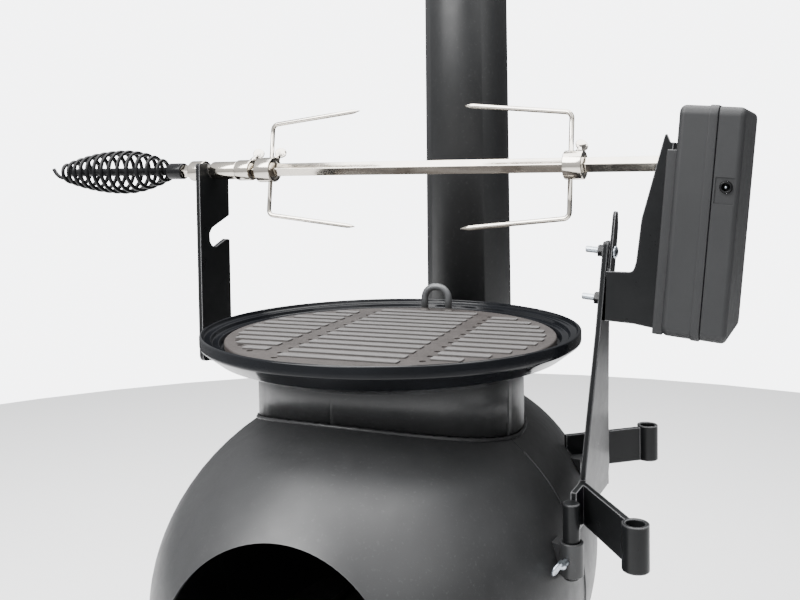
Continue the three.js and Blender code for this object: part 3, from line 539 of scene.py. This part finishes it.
def build_belly():
    mouth_x, mouth_z = FIRE_MOUTH["x"], FIRE_MOUTH["z"]
    front = egg_half("front dome shell", -BELLY["front"], [0, -SHELL], edge=0.4)
    cut(front,
        cylinder("throat", NECK_RADIUS - 8, (0, 0, -200), (0, 0, 0), STOVE, 96),
        cylinder("mouth", FIRE_MOUTH["radius"], (mouth_x, -400, mouth_z), (mouth_x, -120, mouth_z),
                 STOVE, 96))
    piece(bevelled(front, 0.8, 2, 40), "stove", "stove_paint", "front_dome")
    rear = egg_half("rear dome shell", BELLY["rear"], [0, -SHELL], edge=0.4)
    cut(rear,
        cylinder("throat", NECK_RADIUS - 8, (0, 0, -200), (0, 0, 0), STOVE, 96),
        cylinder("flue hole", 43.5, (0, 240, -260), (0, 240, 0), STOVE, 64))
    piece(bevelled(rear, 0.8, 2, 40), "stove", "stove_paint", "rear_dome")
    neck = tube("neck collar", NECK_RADIUS, NECK_RADIUS - SHELL, (0, 0, -180), (0, 0, NECK_TOP),
                STOVE, 128)
    cut(neck, belly_core())
    piece(neck, "stove", "stove_paint", "neck_ring")
    bead = []
    for step in range(180):
        angle = 2 * math.pi * step / 180
        x, y = (NECK_RADIUS + 0.6) * math.cos(angle), (NECK_RADIUS + 0.6) * math.sin(angle)
        bead.append((x, y, belly_height(x, y) + 0.4 + 0.25 * math.sin(step * 2.7)))
    weld = ring_bar("neck weld bead", bead, [2.0 + 0.3 * math.sin(k * 1.9) for k in range(180)], STOVE)
    piece(weld, "stove", "stove_paint")
    seam = []
    for step in range(200):
        angle = math.radians(136) + math.radians(268) * step / 199
        seam.append(egg_point(math.pi / 2, angle, -BELLY["front"], -0.6))
    piece(sweep("belly seam weld", seam, 1.7, STOVE, 10), "stove", "stove_paint")


def build_legs():
    core = belly_core()
    for corner, side_x, side_y in (("front_left", -1, -1), ("front_right", 1, -1),
                                   ("rear_left", -1, 1), ("rear_right", 1, 1)):
        top = Vector((side_x * 112, 10 + side_y * 150, -330))
        foot = Vector((side_x * 158, 10 + side_y * 212, FLOOR + 14))
        along = (foot - top).normalized()
        label = corner.replace("_", " ")
        socket = tube(f"leg socket {label}", 18, 14.3, top - along * 60, top + along * 85, STOVE)
        cut_copy(socket, core)
        piece(socket, "stove", "stove_paint", f"leg_socket_{corner}")
        reach = (FLOOR + 14 + GAP - foot.z) / along.z
        leg = cylinder(f"leg {label}", 14, top - along * 20, foot + along * (reach + 30), STOVE, 48)
        cut_copy(leg, core)
        cut(leg, block("ground", (-500, -500, FLOOR - 60), (500, 500, FLOOR + 14 + GAP), STOVE))
        piece(bevelled(leg, 0.5, 2, 40), "stove", "stove_paint", f"leg_{corner}")
        profile = rounded([(0, 0), (17, 0), (17, 14), (14.5, 14), (13, 12.5), (0, 12.5)],
                          [0, 2, 3, 0.8, 0.5, 0], 5)
        puck = lathe(f"foot {label}", profile, STOVE, 64, (foot.x, foot.y, FLOOR))
        piece(puck, "stove", "rubber", f"foot_{corner}")
    bpy.data.objects.remove(core)


# ------------------------------------------------------------------ flue
FLUE_Y = 240.0
FLUE_BOTTOM = -96.0
FLUE_JOINT = 402.0
FLUE_TOP = 565.0


def flue_radius(height):
    return 51.5 - 2 * (height - FLUE_BOTTOM) / (FLUE_JOINT - FLUE_BOTTOM)


def beads(heights, swell, spread=3.0):
    """Steps of (height, extra radius) that roll outward beads into a sheet-metal tube."""
    steps = []
    for height in heights:
        for share in range(-4, 5):
            steps.append((height + spread * share / 4, swell * (1 + math.cos(math.pi * share / 4)) / 2))
    return steps


def sheet_tube(name, radius_at, wall, low, high, rolled):
    """A thin tube whose radius follows radius_at, with rolled beads and softened lips."""
    outside = [(radius_at(height) + extra, height) for height, extra in rolled]
    outer = [(radius_at(low), low)] + outside + [(radius_at(high), high)]
    inner = [(radius - wall, height) for radius, height in reversed(outer)]
    profile = rounded(outer + inner, wall * 0.4, 2)
    return lathe(name, profile, STOVE, 128, (0, FLUE_Y, 0))


def build_flue():
    lower = sheet_tube("flue lower section", flue_radius, 1.5, FLUE_BOTTOM, FLUE_JOINT, [])
    cut(lower, belly_core())
    piece(lower, "stove", "stove_paint", "flue_lower", material=FLUE_PAINT)
    overlap = FLUE_JOINT - 30
    upper_radius = flue_radius(overlap) + 1.8
    upper = sheet_tube(
        "flue upper section", lambda z: upper_radius - 1.5 * (z - overlap) / (FLUE_TOP - overlap),
        1.5, overlap, FLUE_TOP, beads([overlap + 8, overlap + 20], 0.9))
    piece(upper, "stove", "stove_paint", "flue_upper", material=FLUE_PAINT)
    ring = upper_radius + GAP
    collar = sheet_tube("cap collar", lambda z: ring + 1.5, 1.5, FLUE_TOP - 22, FLUE_TOP + 6,
                        beads([FLUE_TOP - 8], 0.8))
    brim = rounded([(0, FLUE_TOP + 57), (71, FLUE_TOP + 34), (72, FLUE_TOP + 32.5),
                    (73.2, FLUE_TOP + 34), (71, FLUE_TOP + 37), (0, FLUE_TOP + 60)],
                   [0, 3, 0.6, 0.6, 3, 0], 4)
    hat = lathe("cap hat", brim, STOVE, 128, (0, FLUE_Y, 0))
    stays = []
    for index in range(3):
        angle = index * 2 * math.pi / 3 + math.pi / 2
        at = STOVE @ Matrix.Translation((0, FLUE_Y, FLUE_TOP)) @ Matrix.Rotation(angle, 4, "Z")
        stay = block("cap stay", (ring + 0.8, -7, -9), (ring + 2.8, 7, 44.5), at)
        stays.append(bevelled(stay, 0.5, 2))
    piece(bevelled(united(collar, hat, *stays), 0.4, 2, 40), "cap", "stove_paint", "flue_cap",
          material=FLUE_PAINT)


# ------------------------------------------------------------------ dish and grill plate
def build_dish():
    corners = [
        ((181, -4.5), 3), ((174.5, -5), 1.6), ((173, -9), 1.6), ((166.5, -9), 1.2),
        ((165, -15.3), 1), ((156, -15.3), 1.5), ((154, -20), 2), ((147, -28), 4),
        ((124, -32), 1.5), ((124, -44), 0.7), ((126, -44), 0.7), ((126, -35.7), 0.5),
        ((131, -35.7), 1.5), ((148, -32), 7), ((168, -24), 9), ((181, -14), 4), ((185, -11), 3),
        ((185, -1), 1.3), ((182, 0), 1.3),
    ]
    dish = lathe("enamelled dish", filleted(corners), OBJECT, 192)
    piece(dish, "cooking_dish", "enamel", "dish")


GRILL_PLATE = {"radius": 162.0, "bottom": -15.0, "floor": -7.9, "top": -6.5, "pitch": 21.1,
               "rib": 11.0, "reach": 152.0}
HOLE_COLUMNS = (-61.5, 71.5)


def build_grill():
    radius, pitch = GRILL_PLATE["radius"], GRILL_PLATE["pitch"]
    bottom, floor, top = GRILL_PLATE["bottom"], GRILL_PLATE["floor"], GRILL_PLATE["top"]
    outer = rounded([(0, bottom), (radius, bottom), (radius, floor), (0, floor)],
                    [0, 1.6, 1.8, 0], 4)
    plate = lathe("ribbed grill plate", outer, GRILL, 160)
    ribs = []
    for row in range(-6, 7):
        y = row * pitch
        half = GRILL_PLATE["rib"] / 2
        reach = math.sqrt(GRILL_PLATE["reach"] ** 2 - (abs(y) + half) ** 2)
        for start, end in ((-reach, -78), (-57, 54), (76, reach)):
            if end - start > 8:
                outline = rounded([(start, y - half), (end, y - half), (end, y + half),
                                   (start, y + half)], 1.5, 3)
                ribs.append(sheet("rib", outline, floor - 1, top - floor + 1, GRILL, "Z"))
    united(plate, joined(ribs))
    holes = []
    for groove in range(14):
        y = (groove - 6.5) * pitch
        spots = [(-math.sqrt(148.5 ** 2 - y * y), y)]
        spots += [(x, y) for x in HOLE_COLUMNS if math.hypot(x, y) < 148]
        holes += [cylinder("hole", 3.2, (*spot, bottom - 2), (*spot, floor + 3), GRILL, 20)
                  for spot in spots]
    cut(plate, joined(holes))
    piece(bevelled(plate, 0.5, 2, 35), "grill", "cast_iron", "grill_plate", material=GRILL_IRON)
    loop_x, loop_y, half, crown = 1.5, 147.0, 14.0, 19.0
    arch = rounded([(loop_x - half, loop_y, floor + GAP), (loop_x - half, loop_y, crown),
                    (loop_x + half, loop_y, crown), (loop_x + half, loop_y, floor + GAP)],
                   half - 0.2, 14, closed=False)
    loop = sweep("lifting loop", arch, 4.0, GRILL, 20, dome=False)
    piece(loop, "grill", "cast_iron", "lifting_loop", material=LOOP_STEEL)
    for side in (-1, 1):
        fillet = rounded([(0, 0), (6.4, 0), (4.2, 1.6), (3.8, 4.2), (0, 4.2)], [0, 0.4, 1, 0.3, 0], 3)
        weld = lathe("loop weld", fillet, GRILL, 32, (loop_x + side * half, loop_y, floor - 0.2))
        piece(weld, "grill", "cast_iron")


# ------------------------------------------------------------------ sockets and thumb screws
def thumb_screw(name, body, slot_name, cad_node, frame_matrix, thread, neck):
    """A threaded shank with a tapered stem and one flat oval spade, pointing along +Z."""
    shank = [(0, 0), (2.0, 0)]
    for turn in range(int(thread)):
        shank += [(2.7, turn + 0.5), (2.25, turn + 1.0)]
    shank += [(4.0, thread), (4.0, thread + 1.2), (2.4, thread + neck), (2.0, thread + neck + 1.5),
              (0, thread + neck + 1.5)]
    stem = lathe(f"{name} stem", shank, frame_matrix, 32)
    middle = thread + neck + 5.7
    spade = [(6 * math.cos(angle), middle + 6.9 * math.sin(angle)) for angle in around(40)]
    blade = bevelled(sheet(name, spade, -1.1, 2.2, frame_matrix, "Y"), 0.8, 3)
    united(blade, stem)
    return piece(blade, body, slot_name, cad_node)


def screw_frame(base, start, direction, turn):
    """A thumb screw's frame: its thread starts at start, its spade is turned about the axis."""
    end = Vector(start) + Vector(direction)
    return toward(base, start, end) @ turned(turn, "Z")


FRONT_PEG = (200.0, -66.0)
REAR_END = (148.0, 96.0)
REAR_TUBE = (217.0, 160.0)
FRONT_TUBE = (261.0, -106.0)
LEFT_PEG = (-150.0, 15.0)
ARM_TOP = -118.0
ARM_BOTTOM = -152.0
SOCKET_SPADE_TURN = 55.0


def side_socket(name, centre, lug, direction, top, bottom):
    x, y = centre
    middle = (top + bottom) / 2
    body = tube(f"{name} socket shell", 10, 7.3, (x, y, bottom), (x, y, top), OBJECT, 48)
    arm = bar("lug", centre, lug, middle - 10, middle + 10, 12, OBJECT)
    cut(arm, cylinder("bore", 9, (x, y, bottom - 1), (x, y, top + 1), OBJECT, 48))
    united(body, arm)
    keep_out = belly_core()
    neck_core = cylinder("neck core", NECK_RADIUS + GAP, (0, 0, -120), (0, 0, 0), OBJECT, 96)
    end = (x + direction[0] * 14, y + direction[1] * 14, middle)
    cut(body, keep_out, neck_core, cylinder("screw hole", 3, (x, y, middle), end, OBJECT, 24))
    piece(bevelled(body, 0.7, 2, 35), "stove", "stove_paint", f"{name}_socket")
    start = (x + direction[0] * 7.3, y + direction[1] * 7.3, middle)
    frame_matrix = screw_frame(OBJECT, start, (*direction, 0), SOCKET_SPADE_TURN)
    screw_body = "post_screw" if name == "front_post" else "support_screw"
    thumb_screw(f"{name} thumb screw", screw_body, "zinc", f"{name}_thumb_screw", frame_matrix, 9, 4)


def build_sockets():
    side_socket("front_post", FRONT_PEG, (165, -50), (-0.1961, -0.9806), -156, -184)
    side_socket("left_support", LEFT_PEG, (-120, 12), (-0.866, 0.5), -54, -78)
    rest = block("rear rest block", (138, 86, ARM_BOTTOM - 14), (166, 112, ARM_BOTTOM + 14), OBJECT)
    slot = bar("slot", REAR_END, REAR_TUBE, ARM_BOTTOM - GAP, 0, 5.6, OBJECT)
    cut(rest, slot, belly_core())
    piece(bevelled(rest, 1.2, 3, 35), "stove", "stove_paint", "rear_rest")


# ------------------------------------------------------------------ left support
def build_left_support():
    corners = [
        ((-22, -51), 7), ((28, -51), 1), ((28, 78), 2), ((22, 79), 5), ((5, 72), 4), ((-1, 72), 5),
        ((-6, 77), 5), ((-7, 87), 5), ((-2, 93), 4), ((28, 105), 2), ((28, 163), 3), ((7.4, 163), 2),
        ((7.4, 155), 0), ((5.2, 149.8), 0), ((0, 147.6), 0), ((-5.2, 149.8), 0), ((-7.4, 155), 0),
        ((-7.4, 163), 2), ((-22, 163), 3),
    ]
    face = sheet("left support plate", filleted(corners), -221.5, 5, OBJECT, "X")
    united(cut(face, cylinder("saddle", 7.4, (-223, 0, 155), (-215, 0, 155), OBJECT, 48)),
           block("foot flange", (-219.5, -12, -51), (-140, 28, -46), OBJECT))
    peg = lathe("support peg", rounded([(0, -84), (7, -84), (7, -47), (0, -47)], [0, 2, 0.5, 0], 4),
                OBJECT, 48, (*LEFT_PEG, 0))
    united(face, peg)
    piece(bevelled(face, 0.9, 3, 35), "stove", "frame_black", "left_support_plate")


# ------------------------------------------------------------------ post, arms and bracket
POST_SHEET = 5.0
BOLT_HEIGHTS = (205.0, 163.0)
BOLT_Y = -2.0
SHAFT_HEIGHT = 285.6


def build_post():
    corners = [
        ((-12, 214), 3), ((8, 214), 4), ((9, 170), 30), ((20, 130), 40), ((42, 56), 60),
        ((66, -8), 6), ((66, -27), 2), ((-25, -27), 2), ((-25, 17), 6), ((-21, 60), 40),
        ((-14, 134), 60),
    ]
    plate = sheet("motor post plate", filleted(corners, 8), -POST_SHEET / 2, POST_SHEET, KIT, "X")
    holes = [cylinder("hole", 3.3, (-10, BOLT_Y, z), (10, BOLT_Y, z), KIT, 32) for z in BOLT_HEIGHTS]
    cut(plate, joined(holes))
    piece(bevelled(plate, 0.8, 3, 35), "stove", "frame_black", "post_plate")


def end_in_tube(arm, centre):
    """Ends an arm in an upright open tube."""
    cut(arm, cylinder("tube core", 9, (*centre, -200), (*centre, -80), OBJECT, 48))
    united(arm, tube("arm tube", 10.5, 7.5, (*centre, ARM_BOTTOM), (*centre, ARM_TOP + 2), OBJECT, 48))


def build_arms():
    clear = bar("post gap", (201.5, -25.3), (199.5, 66.3), -200, -80, 12, OBJECT)
    front = bar("front arm", FRONT_PEG, (200, -26), ARM_BOTTOM, ARM_TOP, POST_SHEET, OBJECT)
    span = bar("span", (198, -28), FRONT_TUBE, ARM_BOTTOM, ARM_TOP, POST_SHEET, OBJECT)
    united(front, span)
    end_in_tube(front, FRONT_TUBE)
    cut(front, cylinder("peg core", 7.3, (*FRONT_PEG, -220), (*FRONT_PEG, -80), OBJECT, 48))
    cut_copy(front, clear)
    piece(bevelled(front, 0.8, 3, 35), "stove", "frame_black", "front_arm")
    rear = bar("rear arm", REAR_END, REAR_TUBE, ARM_BOTTOM, ARM_TOP, POST_SHEET, OBJECT)
    united(rear, bar("link", (196, 68), (181, 125.5), ARM_BOTTOM, ARM_TOP, POST_SHEET, OBJECT))
    end_in_tube(rear, REAR_TUBE)
    cut(rear, belly_core(), clear)
    piece(bevelled(rear, 0.8, 3, 35), "stove", "frame_black", "rear_arm")
    profile = rounded([(0, -188), (7, -188), (7, -124), (0, -124)], [0, 2.5, 1.2, 0], 4)
    peg = lathe("front post peg", profile, OBJECT, 48, (*FRONT_PEG, 0))
    piece(peg, "stove", "frame_black", "front_post_peg")


def build_bracket():
    left, right, thick = 2.8, 47.5, 2.5
    wing_corners = [
        ((left, 146), 1), ((30, 147), 6), ((50, 145.5), 1), ((50, 298), 1),
        ((44, 310), 2), ((42.5, 309), 2), ((33, 258), 60), ((29, 237), 40), ((27.5, 200), 8),
        ((25.5, 191), 5), ((left, 189), 1),
    ]
    bracket = sheet("motor bracket", filleted(wing_corners), -14, thick, KIT, "Y")
    post_side = rounded([(-14, 146), (9, 146), (9, 225), (3, 241), (-6, 240), (-9, 189), (-14, 189)],
                        [0, 2, 8, 5, 4, 12, 0], 6)
    motor_side = rounded([(-14, 145.5), (24, 145.5), (24, 292), (14, 303), (-14, 303)],
                         [0, 3, 8, 6, 0], 6)
    united(bracket, sheet("post flange", post_side, left, thick, KIT, "X"),
           sheet("motor flange", motor_side, right, thick, KIT, "X"))
    holes = [cylinder("hole", 3.3, (0, BOLT_Y, z), (12, BOLT_Y, z), KIT, 32) for z in BOLT_HEIGHTS]
    holes += [cylinder("hole", 2.2, (42, 14, z), (56, 14, z), KIT, 24) for z in (170, 235)]
    holes.append(cylinder("shaft hole", 12.5, (42, 0, SHAFT_HEIGHT), (56, 0, SHAFT_HEIGHT), KIT, 64))
    cut(bracket, joined(holes))
    piece(bevelled(bracket, 0.7, 3, 35), "stove", "frame_black", "motor_bracket")
    for height, label in zip(BOLT_HEIGHTS, ("upper", "lower")):
        build_bolt(label, height, left + thick + GAP)


def build_bolt(label, height, head_x):
    """A machine screw with a domed head, its threaded end standing out past the nut."""
    profile = [(0, -19), (2.3, -19)]
    for turn in range(17):
        profile += [(3.0, -18.4 + turn), (2.55, -17.9 + turn)]
    profile += [(3.0, -1), (3.0, head_x - 0.1), (5.2, head_x), (5.6, head_x + 0.6),
                (5.5, head_x + 1.3), (4.6, head_x + 2.6), (2.6, head_x + 3.4), (0, head_x + 3.6)]
    bolt = lathe(f"bracket bolt {label}", profile, KIT, 40, (0, BOLT_Y, height), "X")
    piece(bolt, "stove", "zinc", f"bracket_bolt_{label}")
    corners = [(5.8 * math.cos(math.pi * k / 3) + BOLT_Y, 5.8 * math.sin(math.pi * k / 3) + height)
               for k in range(6)]
    nut = sheet(f"bracket nut {label}", corners, -8, 8 - POST_SHEET / 2 - GAP, KIT, "X")
    cut(nut, cylinder("thread", 3.3, (-10, BOLT_Y, height), (0, BOLT_Y, height), KIT, 32))
    piece(bevelled(nut, 0.5, 2, 35), "stove", "frame_black", f"bracket_nut_{label}")


# ------------------------------------------------------------------ motor
MOTOR = {"front": 58.0, "seam": 88.0, "back": 108.0, "bottom": 146.0, "top": 334.0, "half": 50.0,
         "corner": 9.0}
INLET = (98.0, 270.4)


def motor_outline(inset):
    """The case's rounded rectangle across the spit, shrunk by inset, as (y, z) points."""
    half = MOTOR["half"] - inset
    low, high = MOTOR["bottom"] + inset, MOTOR["top"] - inset
    square = [(half, high), (-half, high), (-half, low), (half, low)]
    return rounded(square, max(MOTOR["corner"] - inset, 1.5), 10)


def motor_block(name, stations):
    """A solid through the case's outline at each (x, inset) station."""
    vertices = []
    for x, inset in stations:
        vertices += [(x, y, z) for y, z in motor_outline(inset)]
    rings, total = len(stations), len(vertices)
    count = total // rings
    ends = [tuple(range(count)), tuple(range(total - count, total))]
    return new_mesh(name, vertices, ring_faces(rings, count) + ends, KIT)


def edge_round(start, radius, inward, base):
    """Stations that round a case edge: from radius deep at start to full size, or the reverse."""
    arc = []
    steps = 6
    for step in range(steps + 1):
        angle = math.pi / 2 * step / steps
        arc.append((start + inward * radius * (1 - math.cos(angle)),
                    base + radius * (1 - math.sin(angle))))
    return arc if inward > 0 else arc[::-1]


def build_motor():
    front, seam, back = MOTOR["front"], MOTOR["seam"], MOTOR["back"]
    lip = [(seam - 7.4, 0.9), (seam - 7.0, 0.25), (seam - 6.2, 0), (seam - 1.2, 0),
           (seam - 0.5, 0.3), (seam - 0.2, 0.9)]
    shell = motor_block("motor front shell", edge_round(front, 5, 1, base=0.9) + lip)
    channel = bevelled(block("channel", (50.6, -44, 147), (front + 1, 44, 297), KIT), 1.2, 3)
    united(shell, channel)
    cut(shell, motor_block("hollow", [(front + 2.5, 3.4), (seam + 5, 3.4)]),
        cylinder("shaft way", 11.6, (48, 0, SHAFT_HEIGHT), (front + 8, 0, SHAFT_HEIGHT), KIT, 64))
    piece(crisp(shell), "stove", "moulded", "motor_front_shell")
    stations = [(seam + 0.2, 1.5), (seam + 0.6, 1.1)] + edge_round(back, 4.5, -1, base=1.1)
    cover = motor_block("motor rear cover", stations)
    inlet_x, inlet_z = INLET
    recess = block("recess", (seam + 1.8, -60, 257), (back - 3.5, -47.9, 278), KIT)
    inlet_hole = cylinder("inlet way", 5, (inlet_x, -60, inlet_z), (inlet_x, -40, inlet_z), KIT, 40)
    cut(cover, motor_block("hollow", [(seam - 5, 3.6), (back - 2.5, 3.6)]), recess, inlet_hole)
    piece(crisp(cover), "stove", "moulded", "motor_rear_cover")
    profile = rounded([(3.2, -50.5), (4.6, -50.5), (4.6, -36), (0, -36), (0, -38), (3.2, -38)],
                      [0.4, 0.6, 0.3, 0, 0, 0.3], 3)
    at = toward(KIT, (inlet_x, 0, inlet_z), (inlet_x, 1, inlet_z))
    piece(lathe("power inlet", profile, at, 48), "stove", "moulded", "dc_inlet",
          material=BLACK_WIRE)
    pin = rounded([(0, -50), (0.9, -50), (0.9, -38.2), (0, -38.2)], [0, 0.5, 0, 0], 4)
    piece(lathe("inlet pin", pin, at, 24), "stove", "moulded", material=ZINC)


# ------------------------------------------------------------------ spit
ROD = 10.0
BORE = ROD + 0.6
ROD_LEFT = -266.0
ROD_RIGHT = 285.0
SCREW_AXIS = (0.0, math.sqrt(0.5), math.sqrt(0.5))
STOP_SCREW_X = -170.5
SPADE_TURN = 35.0
PRONG_SPREAD = 47.5
PRONG_LENGTH = 95.0
PRONG_WIRE = 2.3
COIL = {"left": -437.0, "right": -278.0, "peak": -343.0, "radius": 23.2, "end": 8.5, "turns": 13,
        "wire": 2.2}


def square_bar(name, side, start, end):
    """A square bar along the spit, standing on its edge."""
    reach = side * math.sqrt(0.5)
    outline = [(reach, 0), (0, reach), (-reach, 0), (0, -reach)]
    return sheet(name, outline, start, end - start, SPIT, "X")


def collar(name, radius, start, end, screw_x=None, lip=1.0):
    """A ring on the square rod, with an optional hole for its thumb screw."""
    profile = rounded([(0, start), (radius, start), (radius, end), (0, end)], [0, lip, lip, 0], 4)
    ring = lathe(name, profile, SPIT, 64, axis="X")
    tools = [square_bar("bore", BORE, start - 5, end + 5)]
    if screw_x is not None:
        top = [component * 20 for component in SCREW_AXIS]
        tools.append(cylinder("screw hole", 3, (screw_x, 0, 0), (screw_x, top[1], top[2]), SPIT, 32))
    return cut(ring, *tools)


def spit_screw(name, body, cad_node, x, distance, thread, neck):
    start = (x, SCREW_AXIS[1] * distance, SCREW_AXIS[2] * distance)
    at = screw_frame(SPIT, start, SCREW_AXIS, SPADE_TURN)
    thumb_screw(name, body, "chrome", cad_node, at, thread, neck)


def build_fork(name, body, base_x, direction, span, screw_x):
    label = name.replace("_", " ")
    hub = collar(label, 13, *span, screw_x)
    tips = []
    for side in (-1, 1):
        tip = (base_x + direction * PRONG_LENGTH, 0, side * (PRONG_SPREAD + 10))
        point = (base_x + direction * (PRONG_LENGTH + 9), 0, side * (PRONG_SPREAD + 10.8))
        path = rounded([(base_x, 0, side * 9), (base_x, 0, side * PRONG_SPREAD), tip], 6, 8,
                       closed=False)
        path += [tuple(Vector(tip).lerp(Vector(point), share)) for share in (0.35, 0.7, 1.0)]
        widths = [PRONG_WIRE] * (len(path) - 3) + [PRONG_WIRE * 0.8, PRONG_WIRE * 0.45, 0.35]
        tips.append(sweep("prong", path, widths, SPIT, 20, dome=False))
    united(hub, *tips)
    cut(hub, square_bar("bore", BORE, span[0] - 5, span[1] + 5))
    piece(hub, body, "chrome", name)
    spit_screw(f"{label} thumb screw", f"{body}_screw", f"{name}_screw", screw_x, 8, 9, 6.5)


def coil_point(share):
    x = COIL["left"] + share * (COIL["right"] - COIL["left"])
    span = COIL["peak"] - COIL["left"] if x < COIL["peak"] else COIL["right"] - COIL["peak"]
    away = min(abs(x - COIL["peak"]) / span, 1)
    radius = COIL["end"] + (COIL["radius"] - COIL["end"]) * max(math.cos(away * math.pi / 2), 0) ** 0.9
    angle = share * COIL["turns"] * 2 * math.pi
    return (x, radius * math.cos(angle), radius * math.sin(angle))


def build_handle():
    steps = COIL["turns"] * 48
    path = [coil_point(step / steps) for step in range(steps + 1)]
    hook = [(-455.5, -2.2, 4.6), (-454, -1.5, 2), (-451.5, -0.8, -1.2), (-448.5, 0.2, -3.9),
            (-445, 2, -5.6), (-441.5, 3.9, -5.9), (-438.6, 6.6, -3.8)]
    coil = sweep("handle coil", hook + path, COIL["wire"], SPIT, 14)
    piece(coil, "spit", "black_wire", "handle_coil")
    end = ROD_LEFT - GAP
    profile = rounded([(0, -430), (4.6, -430), (4.6, -275), (9, -275), (9, -255), (0, -255)],
                      [0, 1.2, 0.5, 1.5, 1.5, 0], 4)
    ferrule = lathe("handle ferrule", profile, SPIT, 64, axis="X")
    cut(ferrule, square_bar("bore", BORE, end, -240))
    piece(ferrule, "spit", "black_wire", "handle_ferrule")


def build_spit():
    rod = bevelled(square_bar("square spit rod", ROD, ROD_LEFT, ROD_RIGHT), 0.9, 3, 50)
    piece(rod, "spit", "chrome", "spit_rod")
    profile = rounded([(0, -243), (11, -243), (11, -224.8), (7.1, -224.8), (7.1, -213.5),
                       (9.7, -213.5), (9.7, -180.3), (0, -180.3)],
                      [0, 1.6, 1.2, 0.6, 0.6, 1.2, 1.2, 0], 4)
    bushing = lathe("spit bushing", profile, SPIT, 64, axis="X")
    cut(bushing, square_bar("bore", BORE, -300, -150))
    piece(bushing, "spit", "chrome", "spit_bushing")
    piece(collar("stop collar", 11, -180, -162, STOP_SCREW_X), "spit", "chrome", "stop_collar")
    spit_screw("stop collar thumb screw", "stop_screw", "stop_collar_screw", STOP_SCREW_X, 7, 8, 8)
    build_handle()
    build_fork("fork_left", "left_fork", -139, 1, (-153, -134), -142)
    build_fork("fork_right", "right_fork", 183, -1, (178, 195.5), 187)


# ------------------------------------------------------------------ CAD nodes shown as they are
KEPT = {
    "fire_grate": CAST_IRON, "flue_collar": STOVE_PAINT, "drive_socket": ZINC,
    "output_gear": NYLON, "idler_gear": NYLON, "gearbox_plate": ZINC, "motor_pinion": BRASS,
    "drive_motor": ZINC,
}


def dress_kept_nodes():
    for name, material in KEPT.items():
        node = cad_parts[name]
        node.data.materials.clear()
        node.data.materials.append(material)
        bevel = node.modifiers.new("Bevel", "BEVEL")
        bevel.width, bevel.segments = 0.0003, 2
        bevel.limit_method = "ANGLE"
        bevel.angle_limit = math.radians(35)


# ------------------------------------------------------------------ camera and light
def build_camera():
    """The camera stands level with the spit, to the right of the fire mouth."""
    data = bpy.data.cameras.new("camera")
    data.sensor_width = 36.0
    data.lens = 40.1
    data.shift_y = -0.1235
    data.clip_start, data.clip_end = 0.01, 50.0
    camera = bpy.data.objects.new("camera", data)
    scene.collection.objects.link(camera)
    turn = turned(26.77, "Z") @ turned(88.0, "X") @ turned(-0.827, "Z")
    camera.matrix_world = Matrix.Translation(OBJECT @ Vector((404.36, -777.06, 152.76))) @ turn
    scene.camera = camera


def area_light(name, where, target, size, power):
    data = bpy.data.lights.new(name, "AREA")
    data.shape = "RECTANGLE"
    data.size, data.size_y = size
    data.energy = power
    light = bpy.data.objects.new(name, data)
    scene.collection.objects.link(light)
    start, end = OBJECT @ Vector(where), OBJECT @ Vector(target)
    aim = (end - start).to_track_quat("-Z", "Y").to_matrix().to_4x4()
    light.matrix_world = Matrix.Translation(start) @ aim


def build_world():
    """A white backdrop to the camera, and to the part a soft light that is strongest above it."""
    world = bpy.data.worlds.new("studio")
    world.use_nodes = True
    tree = world.node_tree
    background = tree.nodes["Background"]
    background.inputs["Color"].default_value = (0.97, 0.98, 1.0, 1)
    lit = tree.nodes.new("ShaderNodeLightPath")
    direction = tree.nodes.new("ShaderNodeTexCoord")
    side = tree.nodes.new("ShaderNodeVectorMath")
    side.operation = "DOT_PRODUCT"
    side.inputs[1].default_value = Vector((-0.2, -0.55, 0.8)).normalized()
    tree.links.new(direction.outputs["Generated"], side.inputs[0])
    softbox = tree.nodes.new("ShaderNodeMapRange")
    for socket, number in (("From Min", -0.35), ("From Max", 0.8),
                           ("To Min", 0.14), ("To Max", 1.35)):
        softbox.inputs[socket].default_value = number
    tree.links.new(side.outputs["Value"], softbox.inputs["Value"])
    strength = tree.nodes.new("ShaderNodeMapRange")
    strength.inputs["To Max"].default_value = 6.0
    tree.links.new(softbox.outputs["Result"], strength.inputs["To Min"])
    tree.links.new(lit.outputs["Is Camera Ray"], strength.inputs["Value"])
    tree.links.new(strength.outputs["Result"], background.inputs["Strength"])
    scene.world = world


def build_floor():
    centre = OBJECT @ Vector((0, 0, FLOOR))
    radius, sides = 2.6, 64
    ring = [(radius * math.cos(angle), radius * math.sin(angle), 0) for angle in around(sides)]
    mesh = bpy.data.meshes.new("floor")
    mesh.from_pydata([centre + Vector(spot) for spot in ring], [], [tuple(range(sides))])
    floor = bpy.data.objects.new("floor", mesh)
    scene.collection.objects.link(floor)
    paint = bpy.data.materials.new("floor")
    paint.use_nodes = True
    shader = paint.node_tree.nodes["Principled BSDF"]
    shader.inputs["Base Color"].default_value = (0.93, 0.93, 0.93, 1)
    shader.inputs["Roughness"].default_value = 0.8
    mesh.materials.append(paint)


def build_lights():
    area_light("key", (-650, -1350, 1500), (0, 0, -150), (1.5, 1.5), 125)
    area_light("fill", (1400, -500, 1200), (100, 0, 0), (1.2, 1.2), 14)
    area_light("top", (0, 300, 1500), (0, 0, 0), (1.8, 1.8), 100)


# ------------------------------------------------------------------ everything together
build_camera()
build_world()
build_floor()
build_lights()
build_belly()
build_legs()
build_flue()
build_dish()
build_grill()
build_sockets()
build_left_support()
build_post()
build_arms()
build_bracket()
build_motor()
build_spit()
dress_kept_nodes()
